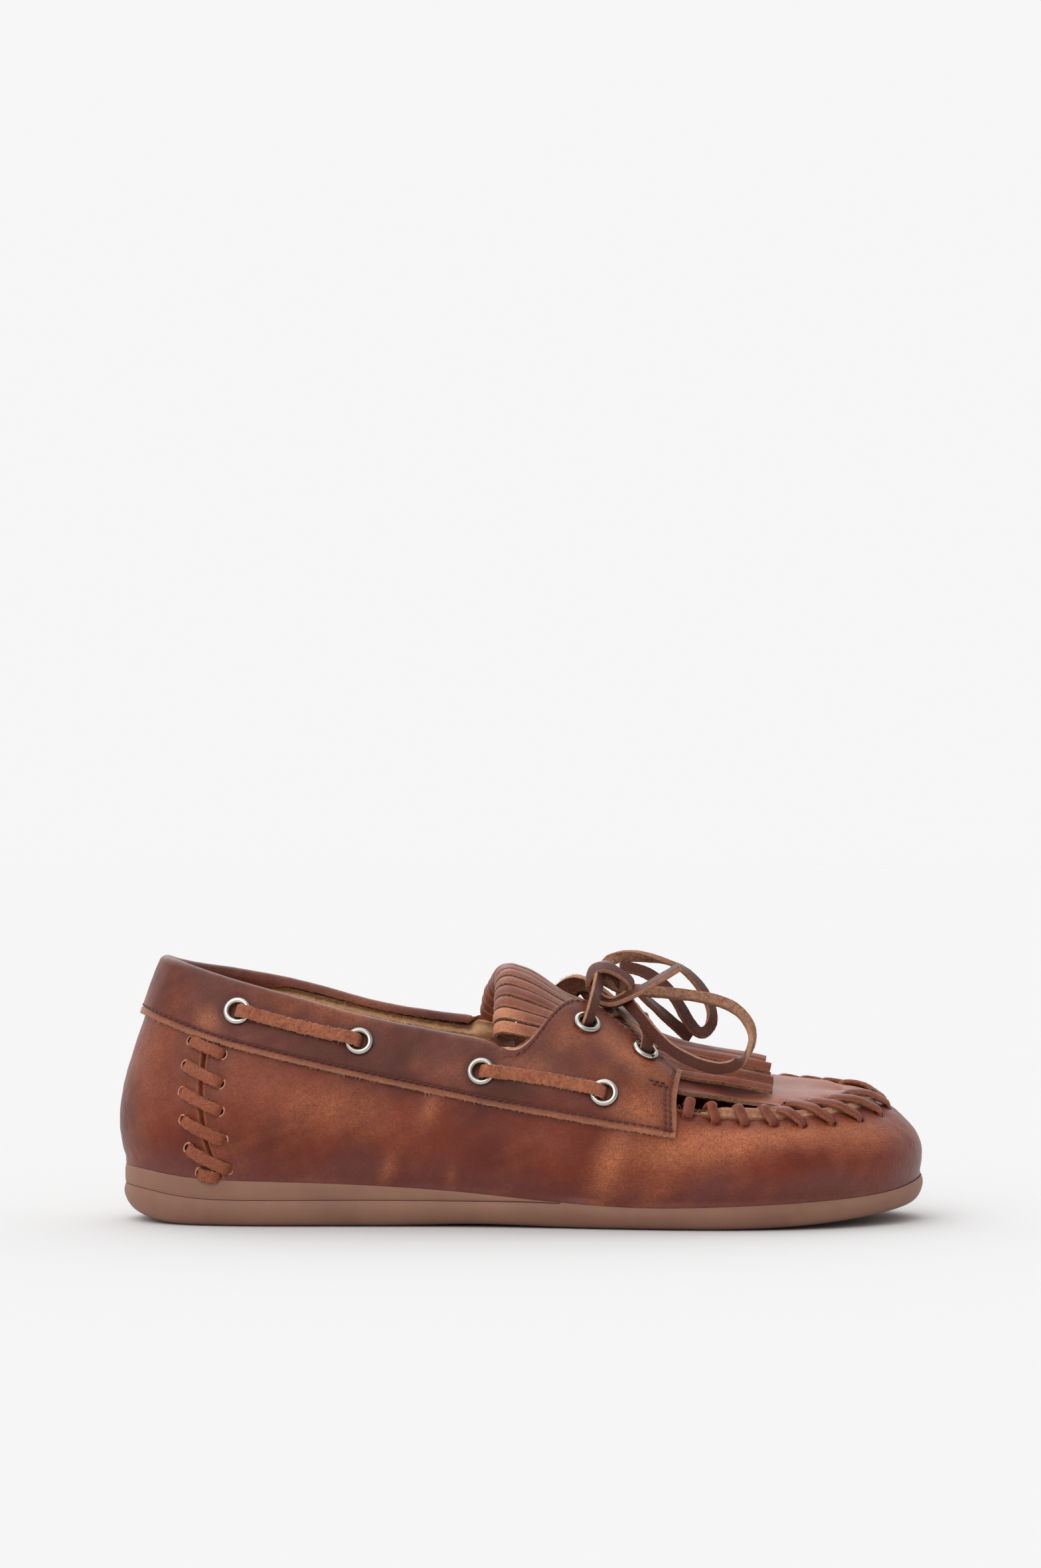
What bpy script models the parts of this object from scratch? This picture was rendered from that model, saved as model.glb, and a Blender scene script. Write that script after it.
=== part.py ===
"""A right-foot moccasin loafer with a fringed kiltie, a laced collar and a thong bow.

Sizes are in millimetres, and MM turns them into Blender's metres. While the shoe is made, x runs from
the heel end of the outsole to the toe, -y is the outer (lateral) side, +y the inner (medial) side and
z is up from the floor. At the end the shoe is centred over the origin.

Every leather piece lies on one surface, the last. It is a net of five lines that run round the shoe:
foot, bulge, mid, edge and crest. A point on it has an angle, 0 at the heel, pi at the toe, positive
on the lateral side and negative on the medial one, and a height, 0 on the foot line, 1 on the edge
line (collar, then apron seam) and 2 on the crest of the instep.
"""

import math

import bmesh
import bpy
import numpy as np
from mathutils import Matrix, Vector

MM = 0.001
LENGTH = 258.0  # outsole, heel to toe

# Leather and gaps
UPPER_WALL = 2.0
SADDLE_WALL = 1.4
APRON_WALL = 1.8
KILTIE_WALL = 1.5
GAP = 0.3
LIFT = np.array([0.0, 0.0, GAP])  # the upper and all that is on it stand this far off the sole

# Outsole and insole
FOOT_INSET = 0.7
WEDGE_END = 140.0
INSOLE_WALL = 2.6
INSOLE_INSET = FOOT_INSET + UPPER_WALL + 1.2
ARCH_RISE = 0.7
ARCH_SPAN = (82.0, 148.0)
TOE_SPRING = (186.0, 0.00105)  # where it starts, and its rise per square millimetre
HEEL_CURL = (22.0, 0.0075)
# A layer's wall from the edge of its flat underside to its top: inset, share of its height.
OUTSOLE_WALL = ((6.5, 0.0), (3.2, 0.10), (1.2, 0.30), (0.2, 0.55), (0.0, 0.78), (0.5, 1.0))
WEDGE_WALL = ((0.5, 0.0), (0.2, 0.25), (0.2, 0.7), (0.5, 1.0))
INSOLE_WALL_ROWS = ((INSOLE_INSET, 0.0), (INSOLE_INSET - 0.3, 0.5), (INSOLE_INSET + 0.4, 1.0))

# Eyelets and lace
EYELET_RADIUS = 4.7
EYELET_HOLE = 2.9
BARREL_RADIUS = 3.3
HOLE_REACH = 14.0
EYELET_SIDES = 14
FLANGE_BASE = 0.45  # the flange's underside, over the saddle's face
FLANGE_TOP = 1.25
THONG_WIDTH = 4.0
THONG_THICKNESS = 1.4
THONG_CORNER = 0.85  # the share of the width that is flat
CORD_DIAMETER = 2.4
# A thong's way out of an eyelet: distance from the eyelet's middle, level over the saddle's face; and
# how far it is turned on edge there, by distance.
BAR_EXIT = ((0.0, -1.6), (0.15, 0.0), (0.8, 1.7), (2.4, 2.5), (4.6, 2.6), (7.0, 2.0), (11.0, 1.35))
BAR_TILT = ((0.0, 0.8, 2.4), (1.0, 0.75, 0.0))
BAR_MIDDLE_LEVEL = 1.1
# A crossing thong from its lower throat eyelet over the kiltie towards the far tab's tip: share, height
# number, counted past the crest, and level over the saddle's face.
CROSSING = (
    (0.672, 1.436, -1.2), (0.6718, 1.440, 0.2), (0.671, 1.458, 1.9), (0.670, 1.500, 2.6),
    (0.668, 1.56, 2.6), (0.664, 1.63, 2.0), (0.658, 1.72, 0.6), (0.650, 1.82, -0.6), (0.641, 1.91, -0.9),
    (0.632, 2.00, -0.9), (0.623, 2.09, -0.9), (0.614, 2.17, -0.9), (0.605, 2.24, -0.9),
)
TIE_END = {"lateral": (153.2, -9.0, 79.0), "medial": (153.2, 5.2, 79.5)}

# One row for each section. The outsole's half widths on both sides; the heights of the line between
# outsole and wedge, of the foot line, of the edge line on both sides and of the crest; the edge line's
# distance from the middle on both sides; the crest's side shift; and the share of the wall's height
# at which the saddle's lower edge runs.
SECTION_COLUMNS = (
    "x", "lateral", "medial", "parting", "foot", "edge_lateral", "edge_medial",
    "reach_lateral", "reach_medial", "crest", "crest_shift", "band",
)
SECTIONS = (
    (0.0, 0.0, 0.0, 11.8, 17.9, 85.0, 85.0, 0.0, 0.0, 98.0, 0.0, 0.71),
    (9.0, 20.3, 20.0, 11.0, 17.3, 82.4, 81.9, 16.0, 15.8, 97.5, 0.0, 0.70),
    (24.0, 28.3, 27.3, 8.9, 15.3, 77.9, 79.5, 21.5, 21.0, 96.0, 0.0, 0.683),
    (48.0, 31.8, 30.0, 8.4, 14.4, 71.8, 74.8, 24.5, 23.0, 93.0, 0.0, 0.662),
    (80.0, 32.3, 29.2, 8.5, 13.3, 64.8, 67.7, 27.0, 24.5, 88.0, 0.0, 0.63),
    (112.0, 34.0, 29.5, 8.4, 11.1, 58.6, 62.6, 30.5, 27.0, 80.0, 0.0, 0.60),
    (140.0, 38.5, 34.0, 8.1, 8.5, 53.0, 58.0, 35.5, 31.5, 72.6, 0.0, 0.59),
    (165.0, 43.3, 39.8, 7.0, 7.2, 44.5, 50.0, 39.0, 36.0, 64.8, 0.5, 0.63),
    (190.0, 45.8, 43.4, 7.0, 7.6, 36.8, 41.8, 38.5, 37.5, 56.0, 1.5, 0.675),
    (212.0, 43.5, 43.0, 7.0, 8.5, 34.9, 40.2, 34.5, 35.0, 47.6, 2.5, 0.70),
    (232.0, 35.5, 38.5, 7.0, 9.6, 35.2, 39.8, 28.0, 30.5, 42.6, 3.5, 0.70),
    (247.0, 23.0, 29.5, 7.0, 11.2, 36.5, 39.2, 17.5, 22.5, 41.4, 4.0, 0.70),
    (258.0, -4.0, 4.0, 7.0, 14.4, 38.6, 38.6, -4.0, 4.0, 40.2, 4.0, 0.70),
)
SECTION = {name: np.array([row[i] for row in SECTIONS]) for i, name in enumerate(SECTION_COLUMNS)}

# The lines of the last: its height number, the x of its heel end and of its toe end, the share of the
# wall's height that it lies at, and how far it stands outside a straight wall.
LINE_COLUMNS = ("height", "heel_x", "toe_x", "share", "fullness")
LINES = (
    (0.00, 0.6, 257.2, 0.00, 0.0),
    (0.22, -1.6, 257.7, 0.22, 2.6),
    (0.58, 4.0, 255.6, 0.58, 3.2),
    (1.00, 14.0, 244.0, 1.00, 0.0),
)
WALL_LEAN = 2.2  # how late the wall leans in towards the edge line: 1 is a straight wall
CREST_HEEL_X = 35.0
CREST_TOE_X = 232.0
CREST_HEIGHT = 2.0

# The saddle's upper edge from the heel to its front corner: share of the length, and height number.
SADDLE_TOP = (
    (0.00, 1.00), (0.20, 1.00), (0.40, 1.00), (0.463, 1.01), (0.483, 1.00), (0.495, 1.03),
    (0.507, 1.10), (0.518, 1.20), (0.528, 1.33), (0.538, 1.47), (0.550, 1.60), (0.565, 1.68),
    (0.588, 1.70), (0.62, 1.66), (0.67, 1.57), (0.728, 1.42),
)
SADDLE_FRONT = 0.686  # share of the length at the front edge's foot
SADDLE_LEAN = 0.042  # how much further forward its top is
SADDLE_LEAN_FROM = 0.55
TAB_LIFT = {"lateral": 2.2, "medial": 6.0}  # how far each tab's tip stands off the kiltie
TAB_SPAN = (0.47, 0.565, 0.70)  # shares at which the lift starts, is full and has ended
TAB_LIFT_HEIGHT = (1.15, 1.65)  # height numbers between which it grows

# The sides of apron and kiltie, from their rear ends forward: share of the length, height number.
APRON_SIDE = ((0.50, 1.22), (0.66, 1.24), (0.738, 1.26), (0.777, 1.31), (0.823, 1.31), (0.868, 1.20),
              (0.90, 1.06), (0.93, 1.04), (1.0, 1.04))
APRON_DROP = 2.1  # how far the tongue lies below the last, under the kiltie
APRON_RISE = (0.80, 0.89)  # shares between which it comes up to the seam
KILTIE_SIDE = ((0.44, 1.10), (0.52, 1.13), (0.62, 1.22), (0.727, 1.32), (0.775, 1.37), (0.82, 1.36),
               (0.87, 1.31))
KILTIE_FRONT = 0.868
# How the kiltie stands off the last towards its front ends and its roll: the share where that starts and
# where it is full, its lift at the sides, and how much more there is over the crest.
KILTIE_FRONT_LIFT = (0.70, KILTIE_FRONT, 1.8, 5.0)
KILTIE_REAR_LIFT = (0.56, 0.47, 0.6, 3.2)
KILTIE_MIDDLE = 0.7  # height over which the crest's share of the lift fades
KILTIE_ROLL = {"lateral": 0.476, "crest": 0.457, "medial": 0.455}  # shares where it starts to curl
ROLL_RADIUS = 5.0
ROLL_TURN = math.radians(215)
SEAM_BEVEL = 0.10  # height over which the vamp's cut edge slopes in along the apron seam
SEAM_FROM = (0.72, 0.78)
APRON_SEAM_FROM = (0.86, 0.91)

# Height numbers of the upper's rows of points
UPPER_OUTER = (0.0, 0.1, 0.2, 0.32, 0.46, 0.62, 0.8, 1.0)
UPPER_INNER = (0.0, 0.16, 0.4, 0.7, 1.0)

# Eyelets of one side: name, share of the length, height number, and whether it goes through the upper.
EYELET_COLUMNS = ("name", "share", "height", "through_upper")
EYELETS = (
    ("collar_1", 0.118, 0.843, True),
    ("collar_2", 0.280, 0.831, True),
    ("collar_3", 0.442, 0.793, True),
    ("collar_4", 0.6035, 0.855, True),
    ("throat_upper", 0.584, 1.409, False),
    ("throat_lower", 0.672, 1.436, False),
)
SIDES = (("lateral", 1), ("medial", -1))

# The free lace, by hand: x from the heel, y, z. Each route starts and ends beside the knot.
KNOT_CENTRE = (155.5, -2.0, 75.5)
KNOT_RADII = (6.0, 5.5, 5.0)
LACE_ROUTES = {
    "bow_loop_lateral": (
        (161.0, -7.5, 71.5), (166.0, -17.0, 66.0), (171.0, -25.0, 60.0), (176.0, -29.5, 55.8),
        (183.0, -31.5, 52.2), (189.0, -31.0, 50.4), (195.0, -28.0, 50.9), (199.6, -22.5, 54.2),
        (201.8, -16.0, 59.0), (200.6, -11.5, 64.0), (196.5, -8.5, 68.2), (190.0, -7.0, 70.8),
        (182.0, -6.0, 72.2), (172.0, -5.0, 73.2), (163.5, -4.5, 74.0),
    ),
    "bow_loop_medial": (
        (154.8, 2.5, 80.6), (156.0, 3.6, 83.4), (159.0, 5.2, 85.2), (164.0, 7.2, 85.5),
        (171.0, 10.0, 84.0), (178.0, 13.0, 81.3), (184.0, 16.0, 77.0), (188.5, 18.0, 71.0),
        (190.5, 18.0, 65.0), (189.6, 16.5, 60.6), (187.0, 14.5, 59.0), (184.0, 12.5, 61.0),
        (181.0, 11.0, 65.6), (178.0, 9.0, 70.6), (174.0, 6.5, 75.3), (169.0, 3.5, 78.8), (164.0, 1.0, 80.6),
        (160.0, 0.0, 81.2),
    ),
    "lace_end_lateral": (
        (151.5, -8.5, 73.0), (153.5, -10.3, 71.0), (157.0, -11.6, 70.2), (161.0, -12.2, 71.4),
        (166.0, -12.8, 74.0), (171.0, -13.4, 77.0), (176.0, -14.1, 80.0), (178.8, -14.5, 81.8),
    ),
    "lace_end_medial": (
        (160.5, 4.0, 74.5), (164.5, 8.5, 73.0), (170.0, 13.5, 69.0), (175.0, 17.5, 64.5),
        (179.5, 20.0, 60.5), (183.5, 21.5, 57.0),
    ),
}


def spline_weights(knots, at):
    """Weights that turn values at the knots into a natural cubic spline's values."""
    knots = np.asarray(knots, float)
    at = np.atleast_1d(np.asarray(at, float))
    count = len(knots)
    step = np.diff(knots)
    system = np.eye(count)
    right = np.zeros((count, count))
    for i in range(1, count - 1):
        system[i, i - 1:i + 2] = step[i - 1], 2 * (step[i - 1] + step[i]), step[i]
        right[i, i - 1:i + 2] = 6 / step[i - 1], -6 / step[i - 1] - 6 / step[i], 6 / step[i]
    bend = np.linalg.solve(system, right)
    i = np.clip(np.searchsorted(knots, at) - 1, 0, count - 2)
    width = step[i][:, None]
    before = ((knots[i + 1] - at) / step[i])[:, None]
    after = 1 - before
    unit = np.eye(count)
    curved = (before**3 - before) * bend[i] + (after**3 - after) * bend[i + 1]
    return before * unit[i] + after * unit[i + 1] + curved * width**2 / 6


def through(rows, at):
    """A smooth curve's value at `at`, through rows of (place, value)."""
    places, values = np.array(rows).T
    return (spline_weights(places, np.ravel(at)) @ values).reshape(np.shape(at))


def share_of(angle):
    """How far along the shoe an angle lies, 0 at the heel and 1 at the toe."""
    return (1 - np.cos(angle)) / 2


def angle_of(share):
    """The lateral side's angle at a share of the length."""
    return np.arccos(1 - 2 * np.asarray(share, float))


STATION_ANGLES = angle_of(SECTION["x"] / LENGTH)


def around(angle, lateral, medial):
    """A column's value at angles all round the shoe, smooth past heel and toe."""
    angle = np.mod(np.asarray(angle, float), 2 * math.pi)
    knots = np.concatenate([STATION_ANGLES, 2 * math.pi - STATION_ANGLES[-2:0:-1]])
    values = np.concatenate([lateral, medial[-2:0:-1]])
    knots = np.concatenate([knots + turn for turn in (-2 * math.pi, 0, 2 * math.pi)])
    return (spline_weights(knots, np.ravel(angle)) @ np.tile(values, 3)).reshape(angle.shape)


def both(angle, name):
    """A column that both sides share."""
    return around(angle, SECTION[name], SECTION[name])


def outline_y(angle):
    """The outsole's half width, with its sign."""
    return around(angle, -SECTION["lateral"], SECTION["medial"])


def line_points(angle):
    """The last's lines at each angle, foot to edge, as an array of angle by line by xyz."""
    foot_y = outline_y(angle)
    foot_z = both(angle, "foot")
    edge_y = around(angle, -SECTION["reach_lateral"], SECTION["reach_medial"])
    edge_z = around(angle, SECTION["edge_lateral"], SECTION["edge_medial"])
    side = -np.sin(angle)
    points = []
    for _, heel_x, toe_x, share, fullness in LINES:
        x = heel_x + (toe_x - heel_x) * share_of(angle)
        inset = FOOT_INSET * (1 - share)
        lean = share**WALL_LEAN
        y = foot_y * (1 - lean) + edge_y * lean + side * (fullness - inset)
        z = foot_z + (edge_z - foot_z) * share
        points.append(np.stack([x, y, z], -1))
    return np.stack(points, -2)


def last(angle, height):
    """Points of the last's surface, for arrays of angles and heights of one shape."""
    angle, height = np.broadcast_arrays(np.asarray(angle, float), np.asarray(height, float))
    shape = angle.shape
    angle, height = angle.ravel(), height.ravel()
    near = line_points(angle)
    far = line_points(-angle)[:, ::-1]
    crest_x = CREST_HEEL_X + (CREST_TOE_X - CREST_HEEL_X) * share_of(angle)
    crest = np.stack([crest_x, both(angle, "crest_shift"), both(angle, "crest")], -1)
    knots = [line[0] for line in LINES]
    knots = knots + [CREST_HEIGHT] + [2 * CREST_HEIGHT - knot for knot in knots[::-1]]
    net = np.concatenate([near, crest[:, None], far], 1)
    return np.einsum("nk,nkd->nd", spline_weights(knots, height), net).reshape(shape + (3,))


def outward(angle, height):
    """Unit normals of the last, pointing out of the shoe."""
    nudge = 1e-3
    angle, height = np.broadcast_arrays(np.asarray(angle, float), np.asarray(height, float))
    height = np.where(np.cos(angle) < -0.995, np.minimum(height, CREST_HEIGHT - 0.03), height)
    along = last(angle + nudge, height) - last(angle - nudge, height)
    up = last(angle, height + nudge) - last(angle, height - nudge)
    normal = np.cross(along, up)
    return normal / np.linalg.norm(normal, axis=-1, keepdims=True)


def offset_last(angle, height, distance):
    """The last's surface moved out by a distance."""
    distance = np.asarray(distance, float)[..., None]
    return last(angle, height) + outward(angle, height) * distance


def new_object(name, points, faces, material):
    """A closed mesh object from points in millimetres, with doubles merged and faces turned out."""
    mesh = bpy.data.meshes.new(name)
    mesh.from_pydata([tuple(p) for p in np.asarray(points) * MM], [], faces)
    build = bmesh.new()
    build.from_mesh(mesh)
    bmesh.ops.remove_doubles(build, verts=build.verts, dist=0.02 * MM)
    bmesh.ops.dissolve_degenerate(build, edges=build.edges, dist=0.01 * MM)
    bmesh.ops.recalc_face_normals(build, faces=build.faces)
    build.to_mesh(mesh)
    build.free()
    mesh.materials.append(material)
    mesh.shade_smooth()
    mesh.set_sharp_from_angle(angle=math.radians(40))
    made = bpy.data.objects.new(name, mesh)
    bpy.context.scene.collection.objects.link(made)
    return made


def grid_faces(rows, columns, start=0, wrap=False):
    """Quads over a grid of points stored row by row."""
    quads = []
    for i in range(rows if wrap else rows - 1):
        for j in range(columns - 1):
            a = start + i * columns + j
            b = start + (i + 1) % rows * columns + j
            quads.append((a, b, b + 1, a + 1))
    return quads


def sheet_solid(name, outer, inner, material, wrap=False, folded_end=False):
    """A leather sheet between an outer and an inner grid of points, closed along its rims.

    With wrap the rows go round, and with folded_end the two halves of the last row meet each other.
    """
    rows, columns = outer.shape[:2]
    back = inner.shape[1]
    start = rows * columns
    points = np.concatenate([outer.reshape(-1, 3), inner.reshape(-1, 3)])
    faces = grid_faces(rows, columns, 0, wrap)
    faces += [quad[::-1] for quad in grid_faces(rows, back, start, wrap)]
    for i in range(rows if wrap else rows - 1):
        j = (i + 1) % rows
        faces.append((i * columns, start + i * back, start + j * back, j * columns))
        top, under = columns - 1, start + back - 1
        faces.append((i * columns + top, j * columns + top, under + j * back, under + i * back))
    if not wrap:
        for i in (0,) if folded_end else (0, rows - 1):
            rim = [i * columns + j for j in range(columns)]
            faces.append(tuple(rim + [start + i * back + j for j in range(back)][::-1]))
    return new_object(name, points, faces, material)


def slab(name, lines, material):
    """A solid through closed lines round the shoe, from the middle of its underside up to its top's."""
    grid = np.stack(lines, 1)
    rows, columns = grid.shape[:2]
    return new_object(name, grid.reshape(-1, 3), grid_faces(rows, columns, 0, True), material)


def ring(angles, heel_x, toe_x, inset, height, middle=0.0):
    """A closed line round the shoe inside the outsole's outline; middle 1 lays it on the centre line."""
    x = heel_x + (toe_x - heel_x) * share_of(angles)
    side = -np.sin(angles)
    y = outline_y(angles) + side * -inset
    other = outline_y(-angles) - side * -inset
    y = y + (other - y) / 2 * middle
    return np.stack([x, y, height(x)], -1)


def floor_height(x):
    """The outsole's underside: flat at heel and ball, a low arch, toe spring and a curled heel end."""
    start, end = ARCH_SPAN
    along = np.clip((x - start) / (end - start), 0, 1)
    spring_from, spring = TOE_SPRING
    curl_to, curl = HEEL_CURL
    arch = ARCH_RISE * np.sin(math.pi * along) ** 2
    toe = spring * np.clip(x - spring_from, 0, None) ** 2
    heel = curl * np.clip(curl_to - x, 0, None) ** 2
    return arch + toe + heel


def along_x(name):
    """A column as a function of x."""
    def height(x):
        return both(angle_of(np.clip(x / LENGTH, 0, 1)), name)
    return height


FOOT_HEIGHT = along_x("foot")
PARTING_HEIGHT = along_x("parting")


def outsole_top(x):
    """The parting line under the wedge, and the foot line in front of it."""
    return np.where(x < WEDGE_END + GAP, PARTING_HEIGHT(x), FOOT_HEIGHT(x))


def between(lower, upper, share):
    """The height a share of the way from one height function to another."""
    def height(x):
        return lower(x) + (upper(x) - lower(x)) * share
    return height


def lifted(height, by):
    """A height function moved up."""
    def moved(x):
        return height(x) + by
    return moved


def wall_rings(angles, wall, lower, upper):
    """A sole layer's rings, from the middle of its underside round its wall to the middle of its top."""
    rings = []
    first_inset, last_inset = wall[0][0], wall[-1][0]
    for middle in (1.0, 0.5):
        rings.append(ring(angles, first_inset, LENGTH - first_inset, first_inset, lower, middle))
    for inset, share in wall:
        rings.append(ring(angles, inset, LENGTH - inset, inset, between(lower, upper, share)))
    for middle in (0.5, 1.0):
        rings.append(ring(angles, last_inset, LENGTH - last_inset, last_inset, upper, middle))
    return rings


def sole_angles(count, extra=()):
    """Angles all round the shoe, with extra ones where a layer ends."""
    half = np.linspace(0, math.pi, count // 2 + 1)
    more = angle_of(np.array(extra) / LENGTH) if extra else np.array([])
    half = np.unique(np.concatenate([half, more]))
    return np.concatenate([half, 2 * math.pi - half[-2:0:-1]])


def make_outsole(material):
    angles = sole_angles(56, (WEDGE_END + 0.2, WEDGE_END + 1.2))
    return slab("outsole", wall_rings(angles, OUTSOLE_WALL, floor_height, outsole_top), material)


def make_wedge(material):
    """The upper layer of the sole, thick at the heel and cut off where it has run out at the waist."""
    angles = sole_angles(56)
    rings = wall_rings(angles, WEDGE_WALL, lifted(PARTING_HEIGHT, GAP), FOOT_HEIGHT)
    wedge = slab("wedge", rings, material)
    build = bmesh.new()
    build.from_mesh(wedge.data)
    bmesh.ops.bisect_plane(
        build, geom=build.verts[:] + build.edges[:] + build.faces[:], clear_outer=True,
        plane_co=(WEDGE_END * MM, 0, 0), plane_no=(1, 0, 0),
    )
    open_edges = [edge for edge in build.edges if edge.is_boundary]
    bmesh.ops.edgeloop_fill(build, edges=open_edges)
    bmesh.ops.recalc_face_normals(build, faces=build.faces)
    build.to_mesh(wedge.data)
    build.free()
    return wedge


def make_insole(material):
    lower = lifted(FOOT_HEIGHT, GAP)
    upper = lifted(FOOT_HEIGHT, GAP + INSOLE_WALL)
    return slab("insole", wall_rings(sole_angles(48), INSOLE_WALL_ROWS, lower, upper), material)


def smooth(value):
    """0 to 1 with soft ends."""
    value = np.clip(value, 0, 1)
    return value * value * (3 - 2 * value)


def make_upper(material):
    """Vamp and quarters: one hollow wall round the whole foot, open above and below."""
    angles = np.linspace(0, 2 * math.pi, 64, endpoint=False)
    outer = offset_last(*np.meshgrid(angles, UPPER_OUTER, indexing="ij"), 0.0)
    inner_angle, inner_height = np.meshgrid(angles, UPPER_INNER, indexing="ij")
    seam = smooth((share_of(inner_angle) - SEAM_FROM[0]) / (SEAM_FROM[1] - SEAM_FROM[0]))
    inner = offset_last(inner_angle, inner_height * (1 + SEAM_BEVEL * seam), -UPPER_WALL)
    for grid in (outer, inner):
        grid += LIFT
        grid[:, 0, 2] = both(angles, "foot") + GAP
    return sheet_solid("upper", outer, inner, material, wrap=True)


def saddle_place(side_angle, rise):
    """Angle and height on the last of the saddle: rise 0 is its lower edge and 1 its upper edge."""
    share = share_of(side_angle)
    lean = smooth((share - SADDLE_LEAN_FROM) / (SADDLE_FRONT - SADDLE_LEAN_FROM))
    share = share + SADDLE_LEAN * lean * rise
    angle = np.sign(side_angle) * angle_of(share)
    low = both(angle, "band")
    top = through(SADDLE_TOP, share)
    return angle, low + (top - low) * rise


def tab_lift(angle, height):
    """How far the saddle stands off the last: only the tips of its two eyelet tabs do."""
    start, full, end = TAB_SPAN
    share = share_of(angle)
    along = smooth((share - start) / (full - start)) * smooth((end - share) / (end - full))
    tip = np.where(angle > 0, TAB_LIFT["lateral"], TAB_LIFT["medial"])
    start, full = TAB_LIFT_HEIGHT
    return tip * along * smooth((height - start) / (full - start))


def make_saddle(material):
    """The collar band with the two eyelet tabs, a U that lies round the heel on top of the upper."""
    half = angle_of(np.concatenate([
        share_of(np.linspace(0, float(angle_of(0.44)), 14)),
        (0.468, 0.486, 0.498, 0.51, 0.522, 0.534, 0.548, 0.568, 0.60, 0.643, SADDLE_FRONT),
    ]))
    angles = np.concatenate([-half[:0:-1], half])
    rises = np.linspace(0, 1, 8)
    angle, height = saddle_place(*np.meshgrid(angles, rises, indexing="ij"))
    lift = tab_lift(angle, height)
    outer = offset_last(angle, height, GAP + SADDLE_WALL + lift) + LIFT
    inner = offset_last(angle, height, GAP + lift) + LIFT
    return sheet_solid("saddle", outer, inner, material)


def across(shares, side_table, columns):
    """Angles and heights of a piece that lies over the crest, in rows from lateral to medial side."""
    row = np.linspace(-1, 1, columns)
    share, row = np.meshgrid(shares, row, indexing="ij")
    side = through(side_table, share)
    height = side + (CREST_HEIGHT - side) * (1 - np.abs(row))
    return np.where(row <= 0, 1, -1) * angle_of(share), height


def make_apron(material):
    """The apron over the toes and the tongue behind it, one sheet that is free where it is the tongue."""
    toe_shares = (0.885, 0.91, 0.935, 0.958, 0.978, 0.993, 1.0)
    shares = np.concatenate([np.linspace(0.50, 0.86, 11), toe_shares])
    angle, height = across(shares, APRON_SIDE, 17)
    share = share_of(angle)
    drop = APRON_DROP * (1 - smooth((share - APRON_RISE[0]) / (APRON_RISE[1] - APRON_RISE[0])))
    outer = offset_last(angle, height, -drop) + LIFT
    start, full = APRON_SEAM_FROM
    bevel = SEAM_BEVEL * smooth((share - start) / (full - start))
    side = (CREST_HEIGHT - height) / (CREST_HEIGHT - height[:, :1])
    inner = offset_last(angle, height + bevel * side, -drop - APRON_WALL) + LIFT
    return sheet_solid("apron", outer, inner, material, folded_end=True)


def kiltie_lift(angle, height):
    """How far the kiltie's top stands above the last: it rises to its roll and to its front ends."""
    share = share_of(angle)
    middle = smooth(1 - np.abs(CREST_HEIGHT - height) / KILTIE_MIDDLE)
    lift = np.zeros(np.shape(share))
    for start, full, side_lift, more in (KILTIE_FRONT_LIFT, KILTIE_REAR_LIFT):
        lift = lift + smooth((share - start) / (full - start)) * (side_lift + more * middle)
    return lift - GAP


def kiltie_grid(columns, steps, turns, depth):
    """The kiltie's surface at a depth below its top, in rows from the front ends round the roll."""
    row = np.linspace(-1, 1, columns)
    near, middle, far = KILTIE_ROLL["lateral"], KILTIE_ROLL["crest"], KILTIE_ROLL["medial"]
    start = middle + np.where(row < 0, near - middle, far - middle) * smooth(np.abs(row))
    rows = []
    for step in np.linspace(0, 1, steps):
        share = KILTIE_FRONT + (start - KILTIE_FRONT) * step
        side = through(KILTIE_SIDE, share)
        height = side + (CREST_HEIGHT - side) * (1 - np.abs(row))
        angle = np.where(row <= 0, 1, -1) * angle_of(share)
        rows.append(offset_last(angle, height, kiltie_lift(angle, height)))
    top = rows[-1]
    back = top - rows[-2]
    back /= np.linalg.norm(back, axis=1, keepdims=True)
    normal = np.cross(np.gradient(top, axis=0), back)
    normal /= np.linalg.norm(normal, axis=1, keepdims=True)
    normal *= np.sign(normal[:, 2:])
    centre = top - normal * ROLL_RADIUS
    sheet = np.array(rows)
    down = np.cross(np.gradient(sheet, axis=1), np.gradient(sheet, axis=0))
    down /= np.linalg.norm(down, axis=2, keepdims=True)
    down *= -np.sign(down[:, :, 2:])
    down[-1] = -normal
    sheet = sheet + down * depth
    curl = []
    for turn in np.linspace(0, ROLL_TURN, turns)[1:]:
        curl.append(centre + (normal * math.cos(turn) + back * math.sin(turn)) * (ROLL_RADIUS - depth))
    return np.concatenate([sheet, np.array(curl)])


def make_kiltie(material):
    """The fringed flap, here without its slits: over the tongue and rolled under at the rear."""
    outer = kiltie_grid(15, 13, 9, 0.0) + LIFT
    inner = kiltie_grid(15, 13, 9, KILTIE_WALL) + LIFT
    return sheet_solid("kiltie", outer, inner, material)


def eyelet_frame(share, height, sign):
    """An eyelet's place on the saddle's outer face, as a matrix with its z axis out of the shoe."""
    angle = np.array([sign * float(angle_of(share))])
    tall = np.array([height])
    base = GAP + SADDLE_WALL
    nudge = 0.01

    def face(by_angle, by_height):
        at_angle, at_height = angle + by_angle, tall + by_height
        return offset_last(at_angle, at_height, base + tab_lift(at_angle, at_height))[0]

    along = face(nudge, 0) - face(-nudge, 0)
    up = face(0, nudge) - face(0, -nudge)
    normal = Vector(np.cross(along, up)).normalized()
    turned = normal.to_track_quat("Z", "X").to_matrix().to_4x4()
    return Matrix.Translation(Vector(face(0, 0) + LIFT) * MM) @ turned


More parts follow.
